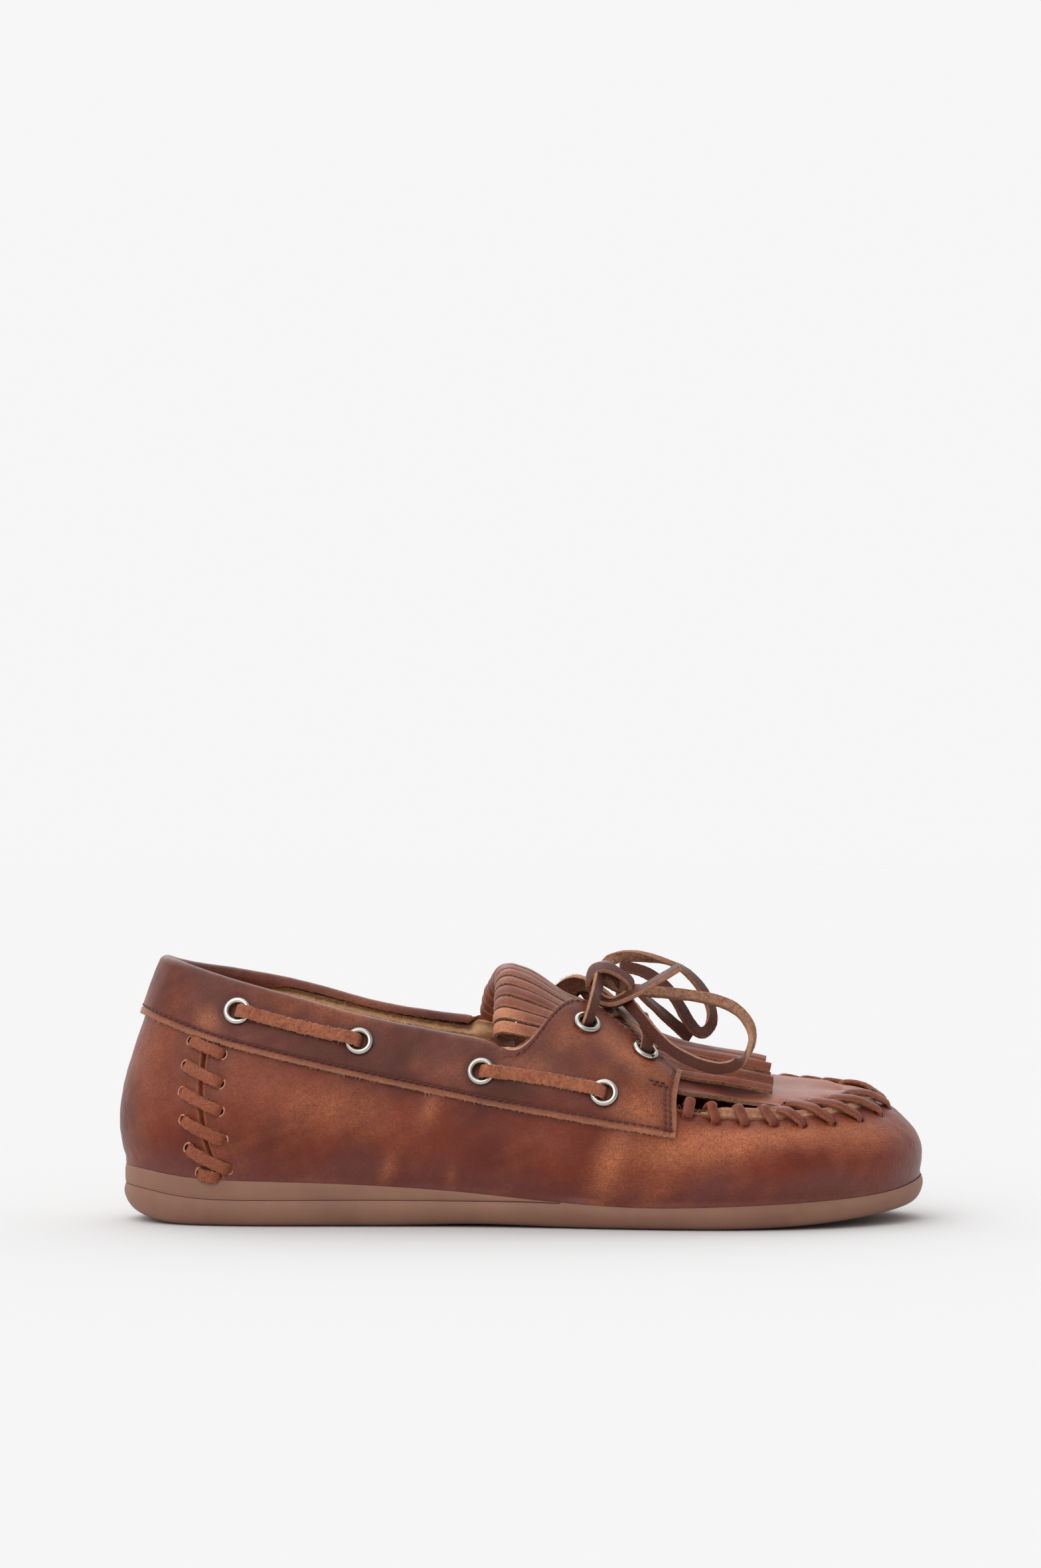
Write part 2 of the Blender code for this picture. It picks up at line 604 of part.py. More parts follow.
def revolve(name, profile, place, material, segments=EYELET_SIDES):
    """A ring turned about the z axis from a closed profile of (radius, height), at a place."""
    angles = np.linspace(0, 2 * math.pi, segments, endpoint=False)
    profile = np.array(profile)
    points = np.stack([
        np.outer(np.cos(angles), profile[:, 0]),
        np.outer(np.sin(angles), profile[:, 0]),
        np.outer(np.ones(segments), profile[:, 1]),
    ], -1)
    columns = len(profile)
    faces = grid_faces(segments, columns, 0, True)
    for i in range(segments):
        j = (i + 1) % segments
        faces.append((i * columns + columns - 1, j * columns + columns - 1, j * columns, i * columns))
    made = new_object(name, points.reshape(-1, 3), faces, material)
    made.data.transform(place)
    return made


def combine(target, other, operation):
    """Cut another solid out of the target or join it on, and remove it."""
    step = target.modifiers.new("combine", "BOOLEAN")
    step.object = other
    step.operation = operation
    step.solver = "EXACT"
    graph = bpy.context.evaluated_depsgraph_get()
    solid = bpy.data.meshes.new_from_object(target.evaluated_get(graph))
    target.modifiers.clear()
    target.data = solid
    bpy.data.objects.remove(other)


def cut_holes(target, places):
    """Round holes through a sheet, one at each place."""
    build = bmesh.new()
    radius = (BARREL_RADIUS + GAP) * MM
    for place in places:
        bmesh.ops.create_cone(
            build, cap_ends=True, segments=EYELET_SIDES, radius1=radius, radius2=radius,
            depth=HOLE_REACH * MM, matrix=place,
        )
    mesh = bpy.data.meshes.new("holes")
    build.to_mesh(mesh)
    build.free()
    cutter = bpy.data.objects.new("holes", mesh)
    bpy.context.scene.collection.objects.link(cutter)
    combine(target, cutter, "DIFFERENCE")


def make_eyelets(saddle, upper, material):
    """Twelve metal eyelets: a rounded flange on the saddle and a barrel through the leather."""
    all_places = []
    deep_places = []
    for side, sign in SIDES:
        for name, share, height, through_upper in EYELETS:
            place = eyelet_frame(share, height, sign)
            all_places.append(place)
            if through_upper:
                deep_places.append(place)
            depth = SADDLE_WALL + GAP + UPPER_WALL if through_upper else SADDLE_WALL
            profile = (
                (EYELET_HOLE, FLANGE_TOP - 0.3), (EYELET_HOLE + 0.7, FLANGE_TOP),
                (EYELET_RADIUS, FLANGE_BASE + 0.2), (EYELET_RADIUS, FLANGE_BASE),
                (BARREL_RADIUS, FLANGE_BASE), (BARREL_RADIUS, -depth), (EYELET_HOLE, -depth),
            )
            revolve(f"eyelet_{side}_{name}", profile, place, material)
    cut_holes(saddle, all_places)
    cut_holes(upper, deep_places)


def smooth_route(points, spacing):
    """Evenly spaced points on a smooth curve through a route's own points."""
    points = np.array(points, float)
    knots = np.concatenate([[0], np.cumsum(np.linalg.norm(np.diff(points, axis=0), axis=1))])
    count = max(int(knots[-1] / spacing), 4) + 1
    return spline_weights(knots, np.linspace(0, knots[-1], count)) @ points


def strap(name, points, normals, width, thickness, material):
    """A flat thong with rounded edges along points, its faces square to the normals."""
    points = np.asarray(points, float)
    along = np.gradient(points, axis=0)
    along /= np.linalg.norm(along, axis=1, keepdims=True)
    cross = np.cross(normals, along)
    cross /= np.linalg.norm(cross, axis=1, keepdims=True)
    normals = np.cross(along, cross)
    half, deep = width / 2, thickness / 2
    flat = half * THONG_CORNER
    section = np.array([
        (-half, -deep / 2), (-flat, -deep), (flat, -deep), (half, -deep / 2),
        (half, deep / 2), (flat, deep), (-flat, deep), (-half, deep / 2),
    ])
    grid = points[:, None] + section[:, :1] * cross[:, None] + section[:, 1:] * normals[:, None]
    rows, columns = grid.shape[:2]
    faces = []
    for i in range(rows - 1):
        for j in range(columns):
            k = (j + 1) % columns
            here, after = i * columns, (i + 1) * columns
            faces.append((here + j, here + k, after + k, after + j))
    faces.append(tuple(range(columns)))
    faces.append(tuple((rows - 1) * columns + j for j in reversed(range(columns))))
    return new_object(name, grid.reshape(-1, 3), faces, material)


def thong(name, angle, height, level, exits, material):
    """A thong over the last, through places of angle, height and level above the saddle's outer face.

    At an end that comes out of an eyelet it starts square to the leather and bends over the flange.
    """
    angle, height, level = (np.asarray(values, float) for values in (angle, height, level))
    points = offset_last(angle, height, GAP + SADDLE_WALL + level) + LIFT
    flat = offset_last(angle, height, GAP + SADDLE_WALL)
    distance = np.concatenate([[0], np.cumsum(np.linalg.norm(np.diff(flat, axis=0), axis=1))])
    along = np.gradient(flat, axis=0)
    along /= np.linalg.norm(along, axis=1, keepdims=True) + 1e-9
    tilt = np.zeros(len(angle))
    if exits[0]:
        tilt -= np.interp(distance, BAR_TILT[0], BAR_TILT[1])
    if exits[1]:
        tilt += np.interp(distance[-1] - distance, BAR_TILT[0], BAR_TILT[1])
    normals = outward(angle, height) * (1 - np.abs(tilt))[:, None] + along * tilt[:, None]
    return strap(name, points, normals, THONG_WIDTH, THONG_THICKNESS, material)


def make_side_bars(material):
    """The four bars of lace that lie outside the collar, two a side, from eyelet to eyelet."""
    places = {name: (share, height) for name, share, height, _ in EYELETS}
    way, level = np.array(BAR_EXIT).T
    for side, sign in SIDES:
        for name, first, second in (("rear", "collar_1", "collar_2"), ("front", "collar_3", "collar_4")):
            start, end = np.array(places[first]), np.array(places[second])
            ends = last(sign * angle_of((start[0], end[0])), (start[1], end[1]))
            length = float(np.linalg.norm(ends[1] - ends[0]))
            part = np.concatenate([way, (length / 2,), length - way[::-1]]) / length
            share, height = (start + (end - start) * part[:, None]).T
            levels = np.concatenate([level, (BAR_MIDDLE_LEVEL,), level[::-1]])
            thong(f"lace_{side}_{name}", sign * angle_of(share), height, levels, (True, True), material)


def make_throat_lace(material):
    """The two thongs that cross over the kiltie, joined where they meet, and the two up to the knot."""
    crossings = []
    for side, sign in SIDES:
        share, height, level = np.array(CROSSING).T
        angle = angle_of(share)
        lift = tab_lift(sign * angle[:1], height[:1]) * np.interp(height, (1.5, 1.8), (1, 0))
        level = level + lift
        crossings.append(thong("lace_crossing", sign * angle, height, level, (True, False), material))
    combine(crossings[0], crossings[1], "UNION")
    crossings[0].name = "lace_crossing"
    places = {name: (share, height) for name, share, height, _ in EYELETS}
    for side, sign in SIDES:
        place = eyelet_frame(*places["throat_upper"], sign)
        hole = np.array(place.translation) / MM
        out = np.array(place.col[2].xyz)
        end = np.array(TIE_END[side])
        rise = end - hole
        start, mouth = hole - out * 1.2, hole + out * 0.8
        route = (start, mouth, hole + out * 2.6 + rise * 0.06, hole + out * 4.0 + rise * 0.4, end)
        points = smooth_route(route, 2.4)
        facing = np.cross(np.gradient(points, axis=0), np.cross(rise, out))
        strap(f"lace_tie_{side}", points, facing, THONG_WIDTH, THONG_THICKNESS, material)


def make_cord(name, points, material):
    """A tube along a stretch of the free lace."""
    curve = bpy.data.curves.new(name, "CURVE")
    curve.dimensions = "3D"
    curve.bevel_depth = CORD_DIAMETER / 2 * MM
    curve.bevel_resolution = 2
    curve.use_fill_caps = True
    spline = curve.splines.new("POLY")
    spline.points.add(len(points) - 1)
    for point, place in zip(spline.points, points):
        point.co = (*(np.asarray(place) * MM), 1.0)
    curve.materials.append(material)
    made = bpy.data.objects.new(name, curve)
    bpy.context.scene.collection.objects.link(made)
    return made


def make_free_lace(material):
    """The knot, the two loops of the bow and the two cut ends."""
    for name, route in LACE_ROUTES.items():
        make_cord(name, smooth_route(route, 6.0), material)
    build = bmesh.new()
    bmesh.ops.create_icosphere(build, subdivisions=2, radius=1.0)
    mesh = bpy.data.meshes.new("lace_knot")
    build.to_mesh(mesh)
    build.free()
    mesh.transform(Matrix.Diagonal((*(np.array(KNOT_RADII) * MM), 1.0)))
    mesh.transform(Matrix.Translation(Vector(KNOT_CENTRE) * MM))
    mesh.materials.append(material)
    bpy.context.scene.collection.objects.link(bpy.data.objects.new("lace_knot", mesh))


def material_of(name, colour, roughness, metallic=0.0):
    made = bpy.data.materials.new(name)
    made.use_nodes = True
    shader = made.node_tree.nodes["Principled BSDF"]
    shader.inputs["Base Color"].default_value = (*colour, 1.0)
    shader.inputs["Roughness"].default_value = roughness
    shader.inputs["Metallic"].default_value = metallic
    return made


def clear_scene():
    for old in list(bpy.data.objects):
        bpy.data.objects.remove(old)


def centre():
    """Centre the shoe, without its free lace, over the origin, standing on z = 0."""
    free = (*LACE_ROUTES, "lace_knot")
    meshes = [made for made in bpy.data.objects if made.name not in free]
    corners = np.array([vertex.co for made in meshes for vertex in made.data.vertices])
    low, high = corners.min(0), corners.max(0)
    shift = Vector((-(low[0] + high[0]) / 2, -(low[1] + high[1]) / 2, -low[2]))
    for made in bpy.data.objects:
        made.data.transform(Matrix.Translation(shift))


def main():
    clear_scene()
    leather = material_of("brown_leather", (0.23, 0.075, 0.042), 0.45)
    thong_leather = material_of("thong_leather", (0.17, 0.06, 0.04), 0.6)
    rubber = material_of("brown_rubber", (0.26, 0.13, 0.085), 0.6)
    suede = material_of("tan_suede", (0.45, 0.27, 0.16), 0.9)
    nickel = material_of("nickel", (0.72, 0.70, 0.67), 0.22, 1.0)
    make_outsole(rubber)
    make_wedge(rubber)
    make_insole(suede)
    upper = make_upper(leather)
    make_apron(leather)
    saddle = make_saddle(leather)
    make_kiltie(leather)
    make_eyelets(saddle, upper, nickel)
    make_side_bars(thong_leather)
    make_throat_lace(thong_leather)
    make_free_lace(thong_leather)
    centre()


main()
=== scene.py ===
"""A right-foot moccasin loafer with a fringed kiltie, a laced collar and a thong bow, finished for display.

The shoe is worked out in millimetres in the maker's own frame: x runs from the heel end of the outsole to
the toe, -y is the outer (lateral) side, +y the inner (medial) side and z is up from the floor. SHIFT and
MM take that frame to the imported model's.

Every leather piece lies on one surface, the last, a net of lines that run round the shoe. A point on it
has an angle, 0 at the heel, pi at the toe, positive on the lateral side and negative on the medial one,
and a height, 0 on the foot line, 1 on the edge line (collar, then apron seam) and 2 on the crest.
"""

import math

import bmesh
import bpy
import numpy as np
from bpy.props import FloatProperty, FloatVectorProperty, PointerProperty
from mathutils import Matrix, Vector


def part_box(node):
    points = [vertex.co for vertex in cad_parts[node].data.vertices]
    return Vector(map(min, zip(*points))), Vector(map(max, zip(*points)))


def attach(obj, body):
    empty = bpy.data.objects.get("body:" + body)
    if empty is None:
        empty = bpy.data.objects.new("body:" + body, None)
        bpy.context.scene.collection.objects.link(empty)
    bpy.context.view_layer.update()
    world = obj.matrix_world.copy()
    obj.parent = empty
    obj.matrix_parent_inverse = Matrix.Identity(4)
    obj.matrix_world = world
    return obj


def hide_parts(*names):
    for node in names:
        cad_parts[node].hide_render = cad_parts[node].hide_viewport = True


bl_info = {
    "name": "Moccasin Loafer",
    "version": (1, 0, 0),
    "blender": (4, 5, 0),
    "location": "3D View > Sidebar > Loafer",
    "description": "Builds a laced moccasin loafer with its seams, fringe, thongs and leather finishes",
    "category": "Add Mesh",
}

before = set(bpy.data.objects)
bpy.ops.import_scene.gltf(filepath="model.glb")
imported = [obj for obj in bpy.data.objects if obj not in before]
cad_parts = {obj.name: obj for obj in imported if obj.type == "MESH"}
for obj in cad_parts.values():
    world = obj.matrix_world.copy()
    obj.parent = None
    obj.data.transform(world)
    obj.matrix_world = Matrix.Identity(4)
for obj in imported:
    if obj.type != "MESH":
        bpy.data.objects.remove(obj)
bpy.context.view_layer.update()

MM = 0.001
TURN = 2 * math.pi
LENGTH = 258.0  # outsole, heel to toe

# Leather and gaps
UPPER_WALL = 2.0
SADDLE_WALL = 1.4
GAP = 0.3

# Outsole and insole
FOOT_INSET = 0.7
WEDGE_END = 140.0
INSOLE_WALL = 2.6
ARCH_RISE = 0.7
ARCH_SPAN = (82.0, 148.0)
TOE_SPRING = (186.0, 0.00105)  # where it starts, and its rise per square millimetre
HEEL_CURL = (22.0, 0.0075)
OUTSOLE_WALL = ((6.5, 0.0), (3.2, 0.10), (1.2, 0.30), (0.2, 0.55), (0.0, 0.78), (0.5, 1.0))
WEDGE_WALL = ((0.5, 0.0), (0.15, 0.25), (0.15, 0.7), (0.5, 1.0))

# One row for each section. The outsole's half widths on both sides; the heights of the line between
# outsole and wedge, of the foot line, of the edge line on both sides and of the crest; the edge line's
# distance from the middle on both sides; the crest's side shift; and the share of the wall's height
# at which the saddle's lower edge runs.
SECTION_COLUMNS = (
    "x", "lateral", "medial", "parting", "foot", "edge_lateral", "edge_medial",
    "reach_lateral", "reach_medial", "crest", "crest_shift", "band",
)
SECTIONS = (
    (0.0, 0.0, 0.0, 11.8, 17.9, 85.0, 85.0, 0.0, 0.0, 98.0, 0.0, 0.71),
    (9.0, 20.3, 20.0, 11.0, 17.3, 82.4, 81.9, 16.0, 15.8, 97.5, 0.0, 0.70),
    (24.0, 28.3, 27.3, 8.9, 15.3, 77.9, 79.5, 21.5, 21.0, 96.0, 0.0, 0.683),
    (48.0, 31.8, 30.0, 8.4, 14.4, 71.8, 74.8, 24.5, 23.0, 93.0, 0.0, 0.662),
    (80.0, 32.3, 29.2, 8.5, 13.3, 64.8, 67.7, 27.0, 24.5, 88.0, 0.0, 0.63),
    (112.0, 34.0, 29.5, 8.4, 11.1, 58.6, 62.6, 30.5, 27.0, 80.0, 0.0, 0.60),
    (140.0, 38.5, 34.0, 8.1, 8.5, 53.0, 58.0, 35.5, 31.5, 72.6, 0.0, 0.59),
    (165.0, 43.3, 39.8, 7.0, 7.2, 44.5, 50.0, 39.0, 36.0, 64.8, 0.5, 0.63),
    (190.0, 45.8, 43.4, 7.0, 7.6, 36.8, 41.8, 38.5, 37.5, 56.0, 1.5, 0.675),
    (212.0, 43.5, 43.0, 7.0, 8.5, 34.9, 40.2, 34.5, 35.0, 47.6, 2.5, 0.70),
    (232.0, 35.5, 38.5, 7.0, 9.6, 35.2, 39.8, 28.0, 30.5, 42.6, 3.5, 0.70),
    (247.0, 23.0, 29.5, 7.0, 11.2, 36.5, 39.2, 17.5, 22.5, 41.4, 4.0, 0.70),
    (258.0, -4.0, 4.0, 7.0, 14.4, 38.6, 38.6, -4.0, 4.0, 40.2, 4.0, 0.70),
)
SECTION = {name: np.array([row[i] for row in SECTIONS]) for i, name in enumerate(SECTION_COLUMNS)}

# The lines of the last: its height number, the x of its heel end and of its toe end, the share of the
# wall's height that it lies at, and how far it stands outside a straight wall.
LINES = (
    (0.00, 0.6, 257.2, 0.00, 0.0),
    (0.22, -1.6, 257.7, 0.22, 2.6),
    (0.58, 4.0, 255.6, 0.58, 3.2),
    (1.00, 14.0, 244.0, 1.00, 0.0),
)
LEAN_POWER = 2.2
CREST_HEEL_X = 35.0
CREST_TOE_X = 232.0
CREST_HEIGHT = 2.0
SEAM_BEVEL = 0.10  # height over which the vamp's cut edge slopes in along the apron seam
SEAM_FROM = (0.72, 0.78)

# The saddle's upper edge from the heel to its front corner: share of the length, and height number.
SADDLE_TOP = (
    (0.00, 1.00), (0.20, 1.00), (0.40, 1.00), (0.463, 1.01), (0.483, 1.00), (0.495, 1.03),
    (0.507, 1.10), (0.518, 1.20), (0.528, 1.33), (0.538, 1.47), (0.550, 1.60), (0.565, 1.68),
    (0.588, 1.70), (0.62, 1.66), (0.67, 1.57), (0.728, 1.42),
)
SADDLE_FRONT = 0.686  # share of the length at the front edge's foot
SADDLE_LEAN = 0.042  # how much further forward its top is
SADDLE_LEAN_FROM = 0.55
TAB_LIFT = {"lateral": 2.2, "medial": 6.0}  # how far each tab's tip stands off the kiltie
TAB_SPAN = (0.47, 0.565, 0.70)  # shares at which the lift starts, is full and has ended

# The sides of apron and kiltie, from their rear ends forward: share of the length, height number.
APRON_SIDE = ((0.50, 1.22), (0.66, 1.24), (0.738, 1.26), (0.777, 1.31), (0.823, 1.31), (0.868, 1.20),
              (0.90, 1.06), (0.93, 1.04), (1.0, 1.04))
APRON_DROP = 2.1
APRON_RISE = (0.80, 0.89)
KILTIE_SIDE = (
    (0.44, 1.10), (0.52, 1.13), (0.62, 1.24), (0.70, 1.36), (0.727, 1.385), (0.775, 1.43), (0.82, 1.43),
    (0.87, 1.39),
)
KILTIE_FRONT = 0.868
KILTIE_ROLL = {"lateral": 0.476, "crest": 0.457, "medial": 0.455}
ROLL_RADIUS = 5.0
ROLL_TURN = math.radians(215)

# Eyelets of one side: name, share of the length, height number, and whether it goes through the upper.
EYELETS = (
    ("collar_1", 0.118, 0.843, True),
    ("collar_2", 0.280, 0.831, True),
    ("collar_3", 0.442, 0.793, True),
    ("collar_4", 0.6035, 0.855, True),
    ("throat_upper", 0.584, 1.409, False),
    ("throat_lower", 0.672, 1.436, False),
)
SIDES = (("lateral", 1), ("medial", -1))


# ---------- The last ----------


def spline_weights(knots, at):
    """Weights that turn values at the knots into a natural cubic spline's values."""
    knots = np.asarray(knots, float)
    at = np.atleast_1d(np.asarray(at, float))
    count = len(knots)
    step = np.diff(knots)
    system = np.eye(count)
    right = np.zeros((count, count))
    for i in range(1, count - 1):
        system[i, i - 1:i + 2] = step[i - 1], 2 * (step[i - 1] + step[i]), step[i]
        right[i, i - 1:i + 2] = 6 / step[i - 1], -6 / step[i - 1] - 6 / step[i], 6 / step[i]
    bend = np.linalg.solve(system, right)
    i = np.clip(np.searchsorted(knots, at) - 1, 0, count - 2)
    width = step[i][:, None]
    before = ((knots[i + 1] - at) / step[i])[:, None]
    after = 1 - before
    unit = np.eye(count)
    curved = (before**3 - before) * bend[i] + (after**3 - after) * bend[i + 1]
    return before * unit[i] + after * unit[i + 1] + curved * width**2 / 6


def through(rows, at):
    """A smooth curve's value at `at`, through rows of (place, value)."""
    places, values = np.array(rows).T
    return (spline_weights(places, np.ravel(at)) @ values).reshape(np.shape(at))


def smooth(value):
    """0 to 1 with soft ends: three times the square less twice the cube."""
    value = np.clip(value, 0, 1)
    return value * value * (3 - 2 * value)


def fade(value, start, end):
    """0 before start and 1 past end, with soft ends; it falls where start is the larger."""
    return smooth((value - start) / (end - start))


def share_of(angle):
    """How far along the shoe an angle lies, from 0 at the heel to 1: half of 1 less its cosine."""
    return (1 - np.cos(angle)) / 2


def angle_of(share):
    """The lateral angle at a share of the length."""
    return np.arccos(1 - 2 * np.asarray(share, float))


FINE_ANGLES = np.linspace(0, TURN, 8193)


def closed_curve(lateral, medial):
    """A column's values at FINE_ANGLES all round the shoe, smooth past heel and toe."""
    half = angle_of(SECTION["x"] / LENGTH)
    knots = np.concatenate([half, TURN - half[-2:0:-1]])
    values = np.concatenate([lateral, medial[-2:0:-1]])
    knots = np.concatenate([knots + turn for turn in (-TURN, 0, TURN)])
    return spline_weights(knots, FINE_ANGLES) @ np.tile(values, 3)


CURVES = {name: closed_curve(SECTION[name], SECTION[name])
          for name in ("parting", "foot", "crest", "crest_shift", "band")}
CURVES["outline"] = closed_curve(-SECTION["lateral"], SECTION["medial"])
CURVES["reach"] = closed_curve(-SECTION["reach_lateral"], SECTION["reach_medial"])
CURVES["edge"] = closed_curve(SECTION["edge_lateral"], SECTION["edge_medial"])
OUTSOLE_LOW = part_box("outsole")[0]
SHIFT = np.array([OUTSOLE_LOW.x / MM, OUTSOLE_LOW.y / MM - CURVES["outline"].min(), 0.0])


def curve(name, angle):
    """A column's value at an angle."""
    return np.interp(np.mod(angle, TURN), FINE_ANGLES, CURVES[name])


def line_points(angle):
    """The last's lines at each angle, foot to edge, as an array of angle by line by xyz.

    A line lies between the foot's outline and the edge's reach by a power of its share, plus its fullness.
    """
    foot_y, edge_y = curve("outline", angle), curve("reach", angle)
    foot_z, edge_z = curve("foot", angle), curve("edge", angle)
    side = -np.sin(angle)
    points = []
    for _, heel_x, toe_x, share, fullness in LINES:
        x = heel_x + (toe_x - heel_x) * share_of(angle)
        lean = share**LEAN_POWER
        y = foot_y * (1 - lean) + edge_y * lean + side * (fullness - FOOT_INSET * (1 - share))
        points.append(np.stack([x, y, foot_z + (edge_z - foot_z) * share], -1))
    return np.stack(points, -2)


def last(angle, height):
    """Points of the last: a spline in height through its lines, the crest and the far side's lines."""
    angle, height = np.broadcast_arrays(np.asarray(angle, float), np.asarray(height, float))
    shape = angle.shape
    angle, height = angle.ravel(), height.ravel()
    near = line_points(angle)
    far = line_points(-angle)[:, ::-1]
    crest_x = CREST_HEEL_X + (CREST_TOE_X - CREST_HEEL_X) * share_of(angle)
    crest = np.stack([crest_x, curve("crest_shift", angle), curve("crest", angle)], -1)
    knots = [line[0] for line in LINES]
    knots = knots + [CREST_HEIGHT] + [2 * CREST_HEIGHT - knot for knot in knots[::-1]]
    net = np.concatenate([near, crest[:, None], far], 1)
    return np.einsum("nk,nkd->nd", spline_weights(knots, height), net).reshape(shape + (3,))


def unit(vectors):
    """Vectors scaled to length 1."""
    return vectors / np.maximum(np.linalg.norm(vectors, axis=-1, keepdims=True), 1e-9)


def outward(angle, height):
    """Unit normals of the last, out of the shoe: its slope by angle crossed with its slope by height."""
    nudge = 3e-3
    angle, height = np.broadcast_arrays(np.asarray(angle, float), np.asarray(height, float))
    height = np.where(np.cos(angle) < -0.995, np.minimum(height, CREST_HEIGHT - 0.03), height)
    along = last(angle + nudge, height) - last(angle - nudge, height)
    up = last(angle, height + nudge) - last(angle, height - nudge)
    return unit(np.cross(along, up))


def offset_last(angle, height, distance):
    """The last's surface moved out by a distance, and raised by the gap over the sole."""
    distance = np.asarray(distance, float)[..., None]
    return last(angle, height) + outward(angle, height) * distance + np.array([0, 0, GAP])


def girth(angle, height):
    """Millimetres of the last's surface to one unit of height number."""
    nudge = 0.01
    return np.linalg.norm(last(angle, height + nudge) - last(angle, height - nudge), axis=-1) / (2 * nudge)


def waves(points, size, seed):
    """Soft unevenness from -1 to 1: a sum of plane waves in seeded directions, of about one wavelength."""
    count = 7
    draw = np.random.default_rng(seed)
    direction = unit(draw.normal(size=(count, 3)))
    pace = TURN / (size * draw.uniform(0.7, 1.5, count))
    phase = draw.uniform(0, TURN, count)
    return np.sin(points @ (direction * pace[:, None]).T + phase).sum(-1) / count**0.5 / 1.2


# ---------- Meshes ----------


def ring_faces(rows, columns, wrap=False):
    """Quads over rows of closed rings, each ring a run of columns; with wrap the rows close up too."""
    row, column = np.meshgrid(np.arange(rows if wrap else rows - 1), np.arange(columns), indexing="ij")
    after, beside = (row + 1) % rows, (column + 1) % columns
    quads = np.stack([row * columns + column, row * columns + beside, after * columns + beside,
                      after * columns + column], -1)
    return quads.reshape(-1, 4)


def tube_faces(rows, columns):
    """Faces over rows of closed rings, with a cap at each end."""
    ring = np.arange(columns)
    return [*ring_faces(rows, columns).tolist(), ring.tolist(), ((rows - 1) * columns + ring[::-1]).tolist()]


def new_object(name, data):
    """An object in the scene."""
    made = bpy.data.objects.new(name, data)
    bpy.context.scene.collection.objects.link(made)
    return made


def new_piece(name, points, faces, finishes, slots=None, paint=None, flow=None, sharp=48, weld=0.01,
              slot=None, replaces=()):
    """A closed mesh in the frame from points in millimetres, with its seams welded and its faces turned out.

    paint holds wear, edge, low and crease for each point, where wear's gold is in places a painted highlight
    and low's plum a painted reflection; flow its distance along and across a strip.
    """
    mesh = bpy.data.meshes.new(name)
    mesh.from_pydata(((np.asarray(points) + SHIFT) * MM).tolist(), [], [list(face) for face in faces])
    if slots is not None:
        mesh.polygons.foreach_set("material_index", np.asarray(slots, np.int32))
    layers = (("paint", "FLOAT_COLOR", "color", paint), ("flow", "FLOAT_VECTOR", "vector", flow))
    for layer, kind, key, values in layers:
        if values is not None:
            data = mesh.attributes.new(layer, kind, "POINT").data
            data.foreach_set(key, np.asarray(values, np.float32).ravel())
    build = bmesh.new()
    build.from_mesh(mesh)
    if weld:
        bmesh.ops.remove_doubles(build, verts=build.verts, dist=weld * MM)
    bmesh.ops.recalc_face_normals(build, faces=build.faces)
    build.to_mesh(mesh)
    build.free()
    for label in finishes:
        mesh.materials.append(finish(label))
    mesh.shade_smooth()
    mesh.set_sharp_from_angle(angle=math.radians(sharp))
    made = new_object(name, mesh)
    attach(made, "root")
    if replaces:
        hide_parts(*replaces)
    return made


def leather_shell(outer, inner, wrap=False, rim=3, ragged=0.15, seed=1):
    """The points, faces and material slots of a leather sheet between two grids of one shape.

    Each row becomes a closed ring: the outer row, a cut edge of a few ragged steps, the inner row
    backwards and a second cut edge. Slot 0 is the grain side, 1 the flesh side and 2 the cut edge.
    """
    rows, columns = outer.shape[:2]
    share = ((np.arange(rim) + 1) / (rim + 1))[None, :, None]
    top = outer[:, -1:] * (1 - share) + inner[:, -1:] * share
    bottom = inner[:, :1] * (1 - share) + outer[:, :1] * share
    draw = np.random.default_rng(seed)
    top = top + unit(outer[:, -1:] - outer[:, -2:-1]) * draw.normal(0, ragged, (rows, rim, 1))
    bottom = bottom + unit(outer[:, :1] - outer[:, 1:2]) * draw.normal(0, ragged, (rows, rim, 1))
    rings = np.concatenate([outer, top, inner[:, ::-1], bottom], 1)
    ring = rings.shape[1]
    faces = ring_faces(rows, ring, wrap).tolist()
    around = [0] * (columns - 1) + [2] * (rim + 1) + [1] * (inner.shape[1] - 1) + [2] * (rim + 1)
    slots = around * (rows if wrap else rows - 1)
    for start in () if wrap else (0, (rows - 1) * ring):  # the two end rows are cut edges too
        near = start + np.arange(columns - 1)
        under = 2 * start + 2 * columns + rim - 1 - near
        faces += np.stack([near, near + 1, under - 1, under], -1).tolist()
        faces.append([start + columns - 1 + k for k in range(rim + 2)])
        faces.append([start + (2 * columns + rim - 1 + k) % ring for k in range(rim + 2)])
        slots += [2] * (columns + 1)
    return rings, faces, slots


def shell_paint(paint, back, rim=3):
    """A leather shell's paint, from the paint of its outer grid and the number of its inner columns."""
    top = np.repeat(paint[:, -1:], rim, 1)
    bottom = np.repeat(paint[:, :1], rim, 1)
    under = paint[:, np.linspace(paint.shape[1] - 1, 0, back).round().astype(int)]
    return np.concatenate([paint, top, under, bottom], 1).reshape(-1, 4)


def leather_piece(name, outer, inner, finishes, paint, wrap=False, rim=3, ragged=0.15, seed=1, deep=None):
    """A leather sheet in place of the node named; the flesh side of its deep rows takes slot 3, a dark finish
    of painted shade.
    """
    rings, faces, slots = leather_shell(outer, inner, wrap, rim, ragged, seed)
    if deep is not None:
        slots = np.where((np.array(slots) == 1) & np.repeat(deep, rings.shape[1]), 3, slots)
    return new_piece(name + "_leather", rings.reshape(-1, 3), faces, finishes, slots,
                     shell_paint(paint, inner.shape[1], rim), slot="upper_leather", replaces=(name,))


def run_of(points):
    """Distance along a line at each of its points."""
    return np.concatenate([[0], np.cumsum(np.linalg.norm(np.diff(points, axis=0), axis=1))])


